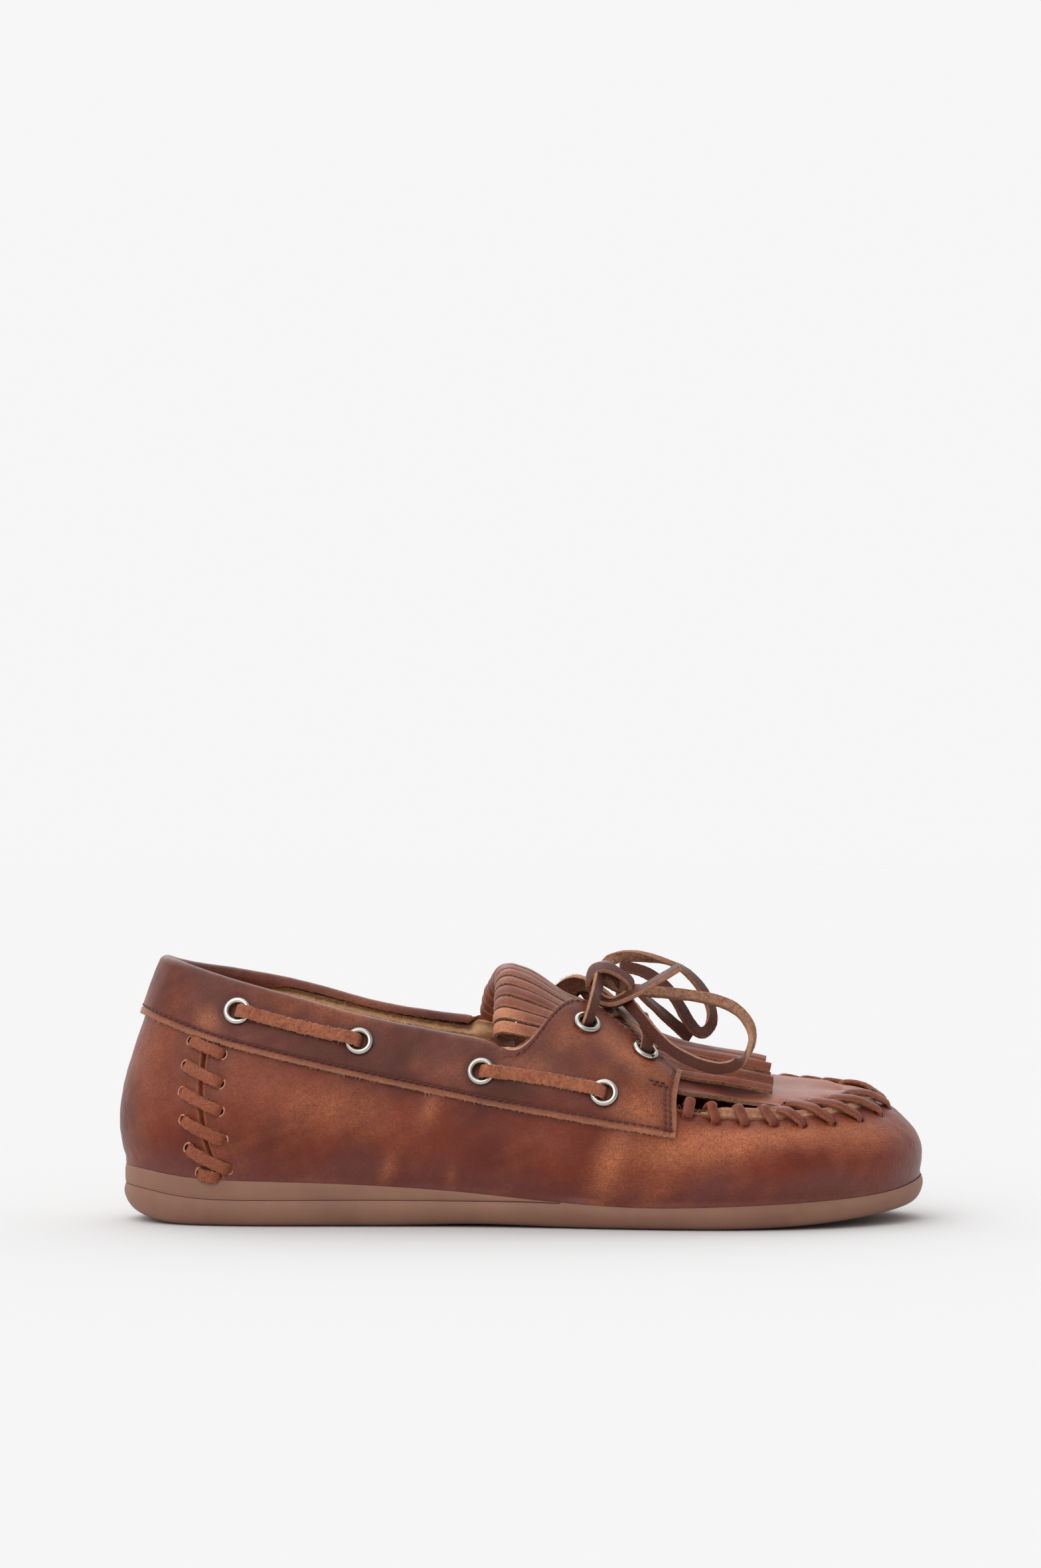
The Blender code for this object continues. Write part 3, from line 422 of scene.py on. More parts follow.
def smooth_route(points, spacing):
    """Evenly spaced points on the cubic spline through a route's own points."""
    points = np.array(points, float)
    knots = run_of(points)
    count = max(int(knots[-1] / spacing), 4) + 1
    return spline_weights(knots, np.linspace(0, knots[-1], count)) @ points


def sampled(at, places, rows):
    """Rows of numbers that are known at some places, read off at others."""
    return np.stack([np.interp(at, places, column) for column in rows.T], -1)


def thong_shell(points, facing, width, thickness, seed, grain_out=True, flare=0.05, ragged=0.05,
                rounded=False):
    """A flat thong along points: its section is a rounded bar whose smooth side looks along facing.

    The section has four points on each flat side and three on each cut side; a slow seeded wave widens
    and narrows it, and the cut sides are ragged. Returns points, faces, paint and flow.
    """
    points = np.asarray(points, float)
    draw = np.random.default_rng(seed)
    along = unit(np.gradient(points, axis=0))
    across = unit(np.cross(facing, along))
    normal = np.cross(along, across)
    corner, crown, side = (0.78, 1.35, 0.55) if rounded else (0.90, 1.04, 0.72)
    half = np.array([(-corner, 1), (-corner / 3, crown), (corner / 3, crown), (corner, 1), (0.99, side),
                     (1.0, 0.0), (0.99, -side)])
    section = np.concatenate([half, -half])
    cut_side = np.abs(section[:, 0]) > 0.95
    distance = run_of(points)
    wave = 1 + flare * np.sin(distance / 5.3 + seed) * np.sin(distance / 2.1 + 2 * seed)
    wide = (width / 2 * wave)[:, None] * section[:, 0]
    wide = wide + draw.normal(0, ragged, wide.shape) * cut_side * np.sign(section[:, 0])
    deep = thickness / 2 * section[:, 1] + draw.normal(0, 0.02, wide.shape)
    rings = points[:, None] + wide[..., None] * across[:, None] + deep[..., None] * normal[:, None]
    flesh = np.where(cut_side, 0.75, np.where(section[:, 1] * (1 if grain_out else -1) > 0, 0.0, 1.0))
    tone = np.random.default_rng(seed + 50).uniform()
    paint = np.stack(np.broadcast_arrays(flesh, cut_side, tone, 0.0 * wide), -1)
    flow = np.stack(np.broadcast_arrays(distance[:, None], section[:, 0] * width / 2, section[:, 1]), -1)
    return rings.reshape(-1, 3), tube_faces(*wide.shape), paint.reshape(-1, 4), flow.reshape(-1, 3)


def join_shells(shells):
    """Several shells as one: their points, faces and the other arrays put end to end."""
    faces, start = [], 0
    for shell in shells:
        faces += [[start + index for index in face] for face in shell[1]]
        start += len(shell[0])
    points, *rest = (np.concatenate(part) for i, part in enumerate(zip(*shells)) if i != 1)
    return (points, faces, *rest)


def thong_piece(name, shells, finish_name, replaces=()):
    """Thongs as one piece, in place of some nodes of the lace or as stitches of their own."""
    points, faces, paint, flow = join_shells(shells)
    return new_piece(name, points, faces, [finish_name], paint=paint, flow=flow, sharp=38, weld=0,
                     slot="thong_leather" if replaces else None, replaces=replaces)


def repeated(unit_points, unit_faces, places):
    """A small shape repeated: places are 3 by 4 matrices, whose columns are its axes and origin."""
    count, size = len(places), len(unit_points)
    points = np.einsum("nij,kj->nki", places[:, :, :3], unit_points) + places[:, None, :, 3]
    starts = range(0, count * size, size)
    faces = [[start + index for index in face] for start in starts for face in unit_faces]
    return points.reshape(count * size, 3), faces


def small_tube(rings, sides):
    """A closed tube along x from rings of (along, up, radius): its points and faces."""
    along, up, radius = (column[:, None] for column in np.array(rings).T)
    turn = np.arange(sides) * TURN / sides
    points = np.stack(np.broadcast_arrays(along, radius * np.cos(turn), up + radius * np.sin(turn)), -1)
    return points.reshape(-1, 3), tube_faces(len(rings), sides)


STITCH = small_tube(
    ((-0.50, -0.55, 0.22), (-0.40, 0.00, 0.42), (-0.14, 0.34, 0.50), (0.14, 0.34, 0.50), (0.40, 0.00, 0.42),
     (0.50, -0.55, 0.22)), 6)
FIBRE = small_tube(((0.0, 0.0, 1.0), (0.5, 0.2, 0.8), (1.0, 0.7, 0.2)), 3)


def stitch_line(line, normals, pitch, stitch, thick, turn=0.0):
    """Thread stitches along a line: short arches, turned a little, that dip in at both ends."""
    thick = thick * sizes().thread
    distance = run_of(line)
    centres = np.arange(stitch / 2, distance[-1] - stitch / 2, pitch)
    point = sampled(centres, distance, line)
    along = sampled(centres, distance, np.gradient(line, distance, axis=0))
    normal = unit(sampled(centres, distance, normals))
    along = unit(along - normal * (along * normal).sum(-1, keepdims=True))
    along = along * math.cos(turn) + np.cross(normal, along) * math.sin(turn)
    places = np.stack([along * stitch, np.cross(normal, along) * thick, normal * thick, point], -1)
    points, faces = repeated(*STITCH, places)
    return points, faces, np.tile(STITCH[0] * (stitch, thick, thick), (len(places), 1))


def fibres(line, out, side, count, long, thick, seed, spread=0.55):
    """Loose leather fibres on a cut edge: bent slivers at seeded places, leaning about the outward way.

    A sliver's middle line is a parabola: it leans by 0.8 of the square of how far along it a point is.
    """
    draw = np.random.default_rng(seed)
    at = draw.uniform(0, len(line) - 1.001, count)
    low = at.astype(int)
    part = (at - low)[:, None]
    root = line[low] * (1 - part) + line[low + 1] * part
    way = unit(out[low] + draw.normal(0, spread, (count, 3)))
    lean = unit(np.cross(way, draw.normal(size=(count, 3))))
    third = np.cross(way, lean)
    reach = long * sizes().fibres * draw.lognormal(0, 0.45, count)[:, None]
    breadth = thick * draw.uniform(0.7, 1.3, count)[:, None]
    root = root + side[low] * draw.uniform(-0.5, 0.5, (count, 1)) - way * 0.1
    places = np.stack([way * reach, third * breadth, lean * reach * 0.5, root], -1)
    points, bent = FIBRE[0], FIBRE[0][:, :1] ** 2
    slivers, faces = repeated(np.hstack([points[:, :2], 0.8 * bent]), FIBRE[1], places)
    deep = np.repeat(lean * breadth, len(points), 0) * np.tile(points[:, 2:] - 0.6 * bent, (count, 1))
    return slivers + deep, faces


# ---------- Finishes ----------


def linear(red, green, blue):
    """A colour from 0 to 255 as the linear colour that a shader takes."""
    share = np.array([red, green, blue]) / 255
    return tuple(np.where(share <= 0.04045, share / 12.92, ((share + 0.055) / 1.055) ** 2.4))


def colours():
    """The colours set in the sidebar."""
    return bpy.context.scene.loafer_colours


def sizes():
    """The sizes set in the sidebar."""
    return bpy.context.scene.loafer_sizes


def millimetres(name):
    """A size set in the sidebar, in millimetres, without the last digits that storing it changes."""
    return round(getattr(sizes(), name) / MM, 4)


class NodeSheet:
    """Short ways to add nodes to one node tree. A colour may be given by its name in the sidebar."""

    def __init__(self, tree):
        """Keep the tree that the nodes go into."""
        self.tree = tree

    def node(self, kind, inputs=None, **settings):
        """A node with its settings, and its inputs by number or name."""
        made = self.tree.nodes.new(kind)
        for key, value in settings.items():
            setattr(made, key, value)
        for key, value in (inputs or {}).items():
            self.feed(made.inputs[key], value)
        return made

    def feed(self, socket, value):
        """Link or set a socket."""
        if isinstance(value, bpy.types.NodeSocket):
            self.tree.links.new(value, socket)
            return
        value = getattr(colours(), value) if isinstance(value, str) else value
        socket.default_value = (*value, 1.0) if socket.type == "RGBA" and len(value) == 3 else value

    def math(self, operation, first, second=0.0, third=0.0, clamp=False):
        """A Math node's result."""
        inputs = {0: first, 1: second, 2: third}
        return self.node("ShaderNodeMath", inputs, operation=operation, use_clamp=clamp).outputs[0]

    def times(self, first, second, clamp=False):
        """Two values multiplied."""
        return self.math("MULTIPLY", first, second, clamp=clamp)

    def plus(self, first, second):
        """Two values added."""
        return self.math("ADD", first, second)

    def scaled(self, value, by, more):
        """A value multiplied by one value, and another added to it."""
        return self.math("MULTIPLY_ADD", value, by, more)

    def mix(self, share, first, second, blend="MIX"):
        """Two colours mixed."""
        inputs = {0: share, 6: first, 7: second}
        made = self.node("ShaderNodeMix", inputs, data_type="RGBA", blend_type=blend, clamp_factor=True)
        return made.outputs[2]

    def noise(self, vector, scale, detail=3.0, roughness=0.55, distortion=0.0):
        """A noise texture's value."""
        inputs = {"Vector": vector, "Scale": scale, "Detail": detail, "Roughness": roughness,
                  "Distortion": distortion}
        return self.node("ShaderNodeTexNoise", inputs).outputs["Fac"]

    def band(self, value, low, high):
        """A value brought from low..high to 0..1 with soft ends."""
        inputs = {"Value": value, "From Min": low, "From Max": high}
        return self.node("ShaderNodeMapRange", inputs, interpolation_type="SMOOTHSTEP").outputs["Result"]

    def grey(self, value):
        """A grey colour as bright as a value."""
        return self.node("ShaderNodeCombineColor", {0: value, 1: value, 2: value}).outputs[0]

    def mapped(self, vector, rotation=(0, 0, 0), scale=(1, 1, 1)):
        """A vector turned and scaled."""
        inputs = {"Vector": vector, "Rotation": rotation, "Scale": scale}
        return self.node("ShaderNodeMapping", inputs).outputs["Vector"]

    def place(self):
        """Object coordinates."""
        return self.node("ShaderNodeTexCoord").outputs["Object"]

    def flow(self):
        """The flow attribute: distance along a strip, and across it."""
        return self.node("ShaderNodeAttribute", attribute_name="flow").outputs["Vector"]

    def paint(self):
        """The paint attribute's four layers."""
        made = self.node("ShaderNodeAttribute", attribute_name="paint")
        parts = self.node("ShaderNodeSeparateColor", {0: made.outputs["Color"]}).outputs
        return parts[0], parts[1], parts[2], made.outputs["Alpha"]

    def group(self, name, **inputs):
        """The outputs of a shared node group, placed with its own inputs."""
        return self.node("ShaderNodeGroup", inputs, node_tree=node_group(name)).outputs


def build_leather(sheet, given):
    """Pull-up leather: a mottled body, plum low down, worn gold where it has been bent and rubbed; where the
    paint puts them, the plum is also a painted reflection and the gold a painted highlight.
    """
    place = sheet.place()
    cloud = sheet.noise(place, 26.0, 3.0, 0.6)
    blotch = sheet.noise(place, 140.0, 4.0, 0.62, 0.4)
    speck = sheet.noise(place, 780.0, 3.0, 0.7)
    fine = sheet.noise(place, 3000.0, 2.0, 0.6)
    pores = sheet.node("ShaderNodeTexVoronoi", {"Vector": place, "Scale": given["Grain"]}).outputs["Distance"]
    body = sheet.mix(sheet.band(cloud, 0.24, 0.60), given["Deep"], given["Body"])
    body = sheet.mix(sheet.times(sheet.band(blotch, 0.35, 0.75), 0.30), body, given["Deep"])
    low = sheet.times(given["Low"], sheet.scaled(blotch, 0.5, 0.7), clamp=True)
    body = sheet.mix(low, body, given["Plum"])
    flecks = sheet.band(sheet.scaled(speck, 0.25, sheet.times(fine, 0.75)), 0.32, 0.68)
    broken = sheet.scaled(flecks, 0.65, sheet.scaled(blotch, 0.5, 0.02))
    worn = sheet.times(given["Wear"], broken, clamp=True)
    body = sheet.mix(worn, body, given["Gold"])
    body = sheet.mix(sheet.times(given["Edge"], 0.55), body, given["Rubbed"])
    shade = sheet.scaled(sheet.plus(speck, fine), 0.5, 0.5)
    drawn = sheet.mapped(place, (0.0, 0.62, 0.2), (260.0, 900.0, 1500.0))
    fold = sheet.noise(drawn, 1.0, 2.0, 0.5, 0.6)
    fold = sheet.times(sheet.times(sheet.band(fold, 0.3, 0.7), given["Crease"]), 0.9)
    grain = sheet.scaled(sheet.band(pores, 0.0, 0.75), -0.45, sheet.times(speck, 0.22))
    height = sheet.plus(sheet.plus(grain, sheet.times(fine, 0.15)), fold)
    rough = sheet.plus(sheet.times(blotch, 0.16), sheet.times(speck, 0.12))
    rough = sheet.plus(rough, sheet.scaled(worn, 0.05, 0.24))
    color = sheet.mix(1.0, body, sheet.grey(shade), "MULTIPLY")
    return {"Color": color, "Roughness": rough, "Height": height}


def build_fibre(sheet, given):
    """The flesh side or a cut edge: matted fibres in two tones."""
    place = sheet.place()
    clump = sheet.noise(place, given["Scale"], 3.0, 0.65, 0.8)
    stretched = sheet.mapped(place, (0.4, 0.7, 0.3), (1.0, 2.6, 1.7))
    matted = sheet.noise(stretched, sheet.times(given["Scale"], 3.2), 3.0, 0.7, 1.2)
    tone = sheet.scaled(clump, 0.55, sheet.times(matted, 0.55))
    height = sheet.scaled(matted, 0.7, sheet.times(clump, 0.6))
    return {"Color": sheet.mix(sheet.band(tone, 0.34, 0.74), given["Dark"], given["Light"]), "Height": height}


def build_specks(sheet, given):
    """Faint uneven tone and dust on rubber and metal."""
    place = sheet.place()
    cloud = sheet.noise(place, 34.0, 3.0, 0.6)
    dust = sheet.noise(place, given["Scale"], 4.0, 0.75)
    fine = sheet.noise(place, 2600.0, 2.0, 0.6)
    color = sheet.mix(sheet.band(cloud, 0.3, 0.7), given["Base"], given["Shade"])
    dusty = sheet.times(sheet.band(dust, 0.60, 0.78), given["Dust"])
    color = sheet.mix(dusty, color, given["Pale"])
    height = sheet.scaled(fine, 0.5, sheet.times(dust, 0.5))
    return {"Color": color, "Mask": dust, "Height": height}


# The shared effects: what builds each, its colour inputs, and its number inputs with their defaults.
GROUPS = {
    "pull_up_leather": (build_leather, ("Deep", "Body", "Plum", "Gold", "Rubbed"),
                        {"Wear": 0.0, "Edge": 0.0, "Low": 0.0, "Crease": 0.0, "Grain": 1500.0}),
    "leather_fibre": (build_fibre, ("Dark", "Light"), {"Scale": 700.0}),
    "dust_and_tone": (build_specks, ("Base", "Shade", "Pale"), {"Dust": 0.3, "Scale": 420.0}),
}


def node_group(name):
    """A shared effect as a shader node group, built the first time that it is asked for."""
    if name in bpy.data.node_groups:
        return bpy.data.node_groups[name]
    build, tints, numbers = GROUPS[name]
    tree = bpy.data.node_groups.new(name, "ShaderNodeTree")

    def socket(label, in_out):
        """A socket on the group's outside, for a colour or a number."""
        kind = "NodeSocketColor" if label in tints or label == "Color" else "NodeSocketFloat"
        return tree.interface.new_socket(name=label, in_out=in_out, socket_type=kind)

    for label in tints:
        socket(label, "INPUT")
    for label, value in numbers.items():
        socket(label, "INPUT").default_value = value
    sheet = NodeSheet(tree)
    results = build(sheet, tree.nodes.new("NodeGroupInput").outputs)
    for label in results:
        socket(label, "OUTPUT")
    end = tree.nodes.new("NodeGroupOutput")
    for label, value in results.items():
        sheet.feed(end.inputs[label], value)
    return tree


def leather(sheet, tone):
    """Pull-up leather whose unworn colours are darkened by a tone."""
    wear, edge, low, crease = sheet.paint()
    darker = {name: [part * tone for part in getattr(colours(), name.lower())]
              for name in ("Deep", "Body", "Plum")}
    out = sheet.group("pull_up_leather", **darker, Gold="gold", Rubbed="rubbed", Wear=wear, Edge=edge,
                      Low=low, Crease=crease, Grain=2300.0)
    return out["Color"], out["Roughness"], out["Height"]


def fibrous(sheet, dark, light, scale):
    """Matted fibres, for flesh sides, cut edges and suede."""
    out = sheet.group("leather_fibre", Dark=dark, Light=light, Scale=scale)
    return out["Color"], None, out["Height"]


def speckled(sheet, base, shade, pale, dust, scale, spread, least):
    """Rubber or metal with uneven tone and dust; its roughness rises from the least by a spread."""
    out = sheet.group("dust_and_tone", Base=base, Shade=shade, Pale=pale, Dust=dust, Scale=scale)
    return out["Color"], sheet.scaled(out["Mask"], spread, least), out["Height"]


def two_sided_thong(sheet):
    """Smooth dark leather on one side of a thong, matted flesh on its other side and its cut edges."""
    flesh, cut, tone, worn = sheet.paint()
    grain = sheet.group("pull_up_leather", Deep="thong_deep", Body="thong", Plum="thong_deep",
                        Gold="thong_rubbed", Rubbed="thong_rubbed", Wear=sheet.plus(worn, 0.2),
                        Edge=worn, Low=sheet.times(tone, 0.5), Crease=0.2, Grain=1700.0)
    rough = sheet.group("leather_fibre", Dark="thong_flesh_dark", Light="thong_flesh", Scale=800.0)
    turned = sheet.band(flesh, 0.25, 0.6)
    color = sheet.mix(turned, grain["Color"], rough["Color"])
    color = sheet.mix(sheet.times(cut, 0.45), color, "thong_edge")
    height = sheet.scaled(sheet.times(turned, 2.0), rough["Height"],
                       sheet.times(grain["Height"], 0.8))
    return color, sheet.scaled(turned, 0.45, grain["Roughness"]), height


def rough_thong(sheet):
    """A side bar's thong, flesh side out: golden brown, with rows of rubbed dark marks."""
    _, cut, _, _ = sheet.paint()
    out = sheet.group("leather_fibre", Dark="bar_dark", Light="bar", Scale=620.0)
    marks = sheet.noise(sheet.mapped(sheet.flow(), scale=(1.1, 0.7, 0.2)), 1.0, 2.0, 0.6, 0.5)
    color = sheet.mix(sheet.times(sheet.band(marks, 0.56, 0.72), 0.55), out["Color"], "bar_dark")
    return sheet.mix(sheet.times(cut, 0.5), color, "thong_edge"), None, out["Height"]


def twisted(sheet):
    """Twisted thread: slanting strands along each stitch."""
    inputs = {"Vector": sheet.mapped(sheet.flow(), (0, 0, 0.7)), "Scale": 1.1, "Distortion": 0.4}
    twist = sheet.node("ShaderNodeTexWave", inputs).outputs["Fac"]
    return sheet.mix(twist, "thread_dark", "thread"), None, twist


def soft(sheen=0.25, roughness=0.95, specular=0.2):
    """Plain shader values for a fibrous finish."""
    return {"Roughness": roughness, "Specular IOR Level": specular, "Sheen Weight": sheen,
            "Sheen Roughness": 0.6}


GRAIN = {"Specular IOR Level": 0.27, "Coat Weight": 0.03, "Coat Roughness": 0.35}
# Each finish: what builds it and what that takes, its relief in millimetres, and its plain shader values.
FINISHES = {
    "pull_up_leather": (leather, (1.0,), 0.10, GRAIN),
    "collar_leather": (leather, (0.74,), 0.10, GRAIN),
    "flesh_lining": (fibrous, ("flesh_dark", "flesh", 900.0), 0.6, soft()),
    "flesh_side": (fibrous, ("deep", "rubbed", 700.0), 0.35, soft()),
    # The upper's inside in the toe: near-black fibres, a painted shade for the dark inside of the shoe there.
    "toe_lining": (fibrous, ((0.008, 0.004, 0.003), "deep", 520.0), 0.4, soft(0.0)),
    "cut_edge": (fibrous, ("edge_dark", "edge_light", 950.0), 0.3, soft()),
    "loose_fibre": (fibrous, ("edge_dark", "edge_light", 400.0), 0.05, soft(0.4)),
    "insole_suede": (fibrous, ("flesh_dark", "flesh", 420.0), 0.3, soft()),
    "hole_shade": (fibrous, ((0.004, 0.002, 0.002), (0.02, 0.009, 0.007), 900.0), 0.0, soft(0.0, 1.0, 0.0)),
    "thong_leather": (two_sided_thong, (), 0.14, {"Specular IOR Level": 0.25}),
    "thong_flesh_out": (rough_thong, (), 0.3, {"Roughness": 0.8}),
    "waxed_thread": (twisted, (), 0.08, {"Roughness": 0.55}),
    "polished_nickel": (speckled, ("metal", "metal_shade", "metal_shade", 0.25, 900.0, 0.16, 0.10), 0.008,
                        {"Metallic": 1.0}),
    "crepe_rubber": (speckled, ("rubber", "rubber_shade", "rubber_dust", 0.35, 520.0, 0.18, 0.50), 0.05,
                     {"Specular IOR Level": 0.4}),
}


def new_material(name, plain):
    """A material whose shader has some plain values; returns it, its node sheet and its shader."""
    material = bpy.data.materials.new("loafer_" + name)
    material.use_nodes = True
    shader = material.node_tree.nodes["Principled BSDF"]
    for label, value in plain.items():
        shader.inputs[label].default_value = value
    return material, NodeSheet(material.node_tree), shader


def finish(name):
    """A finish's material, built the first time that it is asked for."""
    made = bpy.data.materials.get("loafer_" + name)
    if made:
        return made
    build, values, depth, plain = FINISHES[name]
    made, sheet, shader = new_material(name, plain)
    color, roughness, height = build(sheet, *values)
    sheet.feed(shader.inputs["Base Color"], color)
    if roughness:
        sheet.feed(shader.inputs["Roughness"], roughness)
    if depth:
        relief = sheet.node("ShaderNodeBump", {"Strength": 1.0, "Distance": depth * MM, "Height": height})
        sheet.feed(shader.inputs["Normal"], relief.outputs["Normal"])
    return made


# ---------- Leathers ----------

# Folds worked into the quarters and vamp, as soft troughs in side view: side, x and z of both ends,
# half width and depth. A negative depth is a ridge.
FOLDS = (
    (1, 146, 8, 153, 29, 5, 0.9), (1, 157, 12, 163, 29, 5, -0.9), (1, 132, 33, 150, 25, 5, 0.6),
    (1, 98, 32, 102, 42, 3, -0.45), (1, 92, 30, 96, 42, 3.5, 0.35), (1, 84, 14, 88, 22, 2.2, -0.4),
    (1, 106, 12, 107.5, 20, 2.4, -0.3), (1, 60, 32, 96, 34, 9, -0.4), (1, 176, 12, 186, 18, 6, 0.35),
    (-1, 146, 10, 154, 32, 5, 0.9), (-1, 157, 12, 165, 32, 5, -0.9), (-1, 118, 24, 136, 32, 5, 0.5),
    (-1, 96, 18, 101, 32, 3.5, -0.45), (-1, 60, 34, 92, 36, 9, -0.4),
)
# Rubbed and bent places, lighter than the rest: side (0 for both), x, z, half sizes, tilt, strength. The
# spots on the folds' ridges (lateral x 86, 106 and 156, medial x 158) are partly painted highlights, the
# light that those ridges catch.
UPPER_WEAR_AND_HIGHLIGHTS = (
    (1, 10, 55, 12, 20, 10, 0.35), (1, 68, 37, 22, 9, -5, 0.55), (1, 100, 38, 3, 6, -20, 0.5),
    (1, 86, 18, 2.5, 5, -25, 0.6), (1, 156, 22, 4, 13, -15, 0.75), (1, 180, 26, 22, 6, 5, 0.9),
    (1, 212, 30, 26, 4.5, 3, 0.85), (1, 238, 28, 10, 5, 0, 0.5), (1, 172, 14, 10, 6, 30, 0.35),
    (1, 106, 16, 1.5, 4, 0, 0.4), (1, 40, 45, 14, 8, 0, 0.3), (1, 30, 22, 5, 8, 0, 0.3),
    (-1, 12, 52, 12, 20, 10, 0.35), (-1, 66, 38, 22, 9, -5, 0.5), (-1, 98, 28, 4, 9, -20, 0.5),
    (-1, 158, 24, 5, 13, -15, 0.7), (-1, 184, 29, 24, 6, 5, 0.8), (-1, 214, 33, 26, 5, 3, 0.75),
    (-1, 240, 30, 10, 5, 0, 0.5), (-1, 120, 20, 9, 5, 20, 0.35),
)
SADDLE_WEAR = (
    (0, 7, 70, 3, 8, 10, 0.45), (0, 12, 84, 4, 4, 10, 0.25), (0, 29, 65, 5, 4, -45, 0.7),
    (0, 60, 70, 25, 5, -10, 0.3), (0, 115, 62, 9, 3, -12, 0.6), (0, 161, 56, 14, 4, -35, 0.85),
    (0, 166, 38, 9, 7, 0, 0.75), (0, 143, 60, 7, 6, 20, 0.45), (0, 20, 86, 10, 2, -12, 0.4),
    (0, 75, 70, 12, 3, -12, 0.35), (0, 100, 50, 12, 4, -10, 0.25), (0, 152, 50, 5, 5, 0, 0.3),
    (0, 130, 50, 9, 4, -15, 0.6),
)
# Seam at the heel: share of the length by height number; and its whip-stitches, from hole to hole.
HEEL_SEAM = (
    (0, 0.127), (0.064, 0.123), (0.19, 0.116), (0.331, 0.108), (0.466, 0.099), (0.625, 0.091), (0.9, 0.08),
)
HEEL_PANEL = ((0, 0.157), (0.073, 0.158), (0.138, 0.153), (0.209, 0.143), (0.27, 0.125))
PANEL_TOP = HEEL_PANEL[-1][0]
HEEL_STITCHES = (
    ((0.070, 0.662), (0.113, 0.635)), ((0.072, 0.549), (0.121, 0.497)), ((0.078, 0.425), (0.129, 0.359)),
    ((0.086, 0.287), (0.137, 0.207)), ((0.092, 0.146), (0.139, 0.052)), ((0.101, 0.022), (0.124, 0.012)),
)
# Whip-stitches of the apron seam: share and height number of the hole in the vamp and of the other end.
SEAM_STITCHES = (
    ((0.719, 0.935), (0.731, 1.10)), ((0.757, 0.932), (0.758, 1.10)), ((0.796, 0.928), (0.795, 1.10)),
    ((0.835, 0.921), (0.829, 1.10)), ((0.873, 0.898), (0.846, 1.13)), ((0.913, 0.889), (0.880, 1.22)),
    ((0.951, 0.873), (0.912, 1.229)), ((0.982, 0.882), (0.944, 1.24)), ((0.9985, 0.900), (0.977, 1.29)),
)
FREE_STITCHES = 4  # the rear ones wrap only the vamp's edge

# The saddle's fold over the topline
FOLD_RADIUS = 2.7
FOLD_CENTRE = -1.0
FOLD_LEG = ((0, 2), (0.13, 1.4), (0.17, 0.4), (0.22, 0.15), (0.5, 0.15))  # by share of the length
FOLD_OPEN = (0.12, 0.17)  # shares between which it opens up a little
FOLD_OPENED = 0.15  # by how much of a half turn
FOLD_END = {"lateral": (0.478, 0.458), "medial": (0.436, 0.420)}  # shares between which it fades in
COLLAR_RISE = (
    (0, 0), (0.12, 0.2), (0.22, 0.8), (0.30, 1.3), (0.36, 1.6), (0.41, 1), (0.46, 0.2), (0.5, 0),
)
SADDLE_END = float(angle_of(SADDLE_FRONT))
TAB_BEVEL = 1.5
LOWER_ROW = 2.2  # the stitch rows' distances from the saddle's lower edge, its tabs' tops and its front
TAB_ROW = TAB_BEVEL + 1.2
FRONT_ROWS = (1.6, 3.2)
TACK_RISE = 0.60  # how far up the inner front row goes, to the bar tack
TACK_SHARES, TACK_HEIGHTS = (0.677, 0.701), (1.106, 1.132)  # of a bar tack's lower line
TACK_SHIFT = (0.026, 0.004)  # how much further up and back its other line is
# Machine stitches: pitch, length and thickness.
THREAD_STITCH = {"lower": (2.4, 2.32, 0.66), "front": (2.1, 2.04, 0.68), "tab": (2.1, 2.02, 0.68),
                 "tack": (1.9, 1.6, 0.7)}
HOLE_REACH = 9.0  # length of the cylinder that cuts an eyelet's hole
EYELET_PRESS = (6.6, 4.2)  # distances from an eyelet between which the leather is pressed in

UPPER_DROP = 2.4  # how far the upper's top lies below the edge line inside the rolled collar
RAW_EDGE_REACH = 0.045  # how far past the edge line the vamp's cut edge reaches in, in height
COLLAR_PAD = 2.7  # how far the lining swells out under the rolled collar
PAD_END = (0.50, 0.44)  # shares of the length, and depths, between which it thins out
PAD_FOOT = (9.0, 21.0)
FOOT_TUCK = 0.35  # how far the upper's foot draws in over the sole
SEAM_DEPTH, LIP_RISE, PANEL_RISE = 1.5, 0.40, 0.45  # the heel seam's groove, its lips, the heel panel
DIMPLE, PUCKER = 0.5, 0.75  # depths round the heel's stitch holes and round the apron seam's
# Past this share the upper's inside takes the near-black finish, painted shade.
TOE_SHADE_FROM = 0.64  # share of the length past which the upper's inside is dark
UPPER_ROWS, UPPER_STEPS, LINING_STEPS = 960, 54, 38
SADDLE_STEPS = 46


def side_of(angle):
    """1 on the lateral side and -1 on the medial one."""
    return np.where(np.sin(angle) >= 0, 1, -1)


def ridge(distance, at, width, height):
    """A soft ridge beside a line: its height times a bell curve of the distance from its crest."""
    return height * np.exp(-((distance - at) / width) ** 2)


def soft_lines(points, side, rows):
    """Sum of troughs in side view: each a bell curve of the distance from a short straight line."""
    x, z = points[..., 0], points[..., 2]
    total = np.zeros(x.shape)
    for row_side, x1, z1, x2, z2, width, depth in rows:
        way = np.array([x2 - x1, z2 - z1])
        along = np.clip(((x - x1) * way[0] + (z - z1) * way[1]) / (way @ way), 0, 1)
        away = np.hypot(x - x1 - along * way[0], z - z1 - along * way[1])
        total += ridge(away, 0, width, depth) * (side == row_side)
    return total


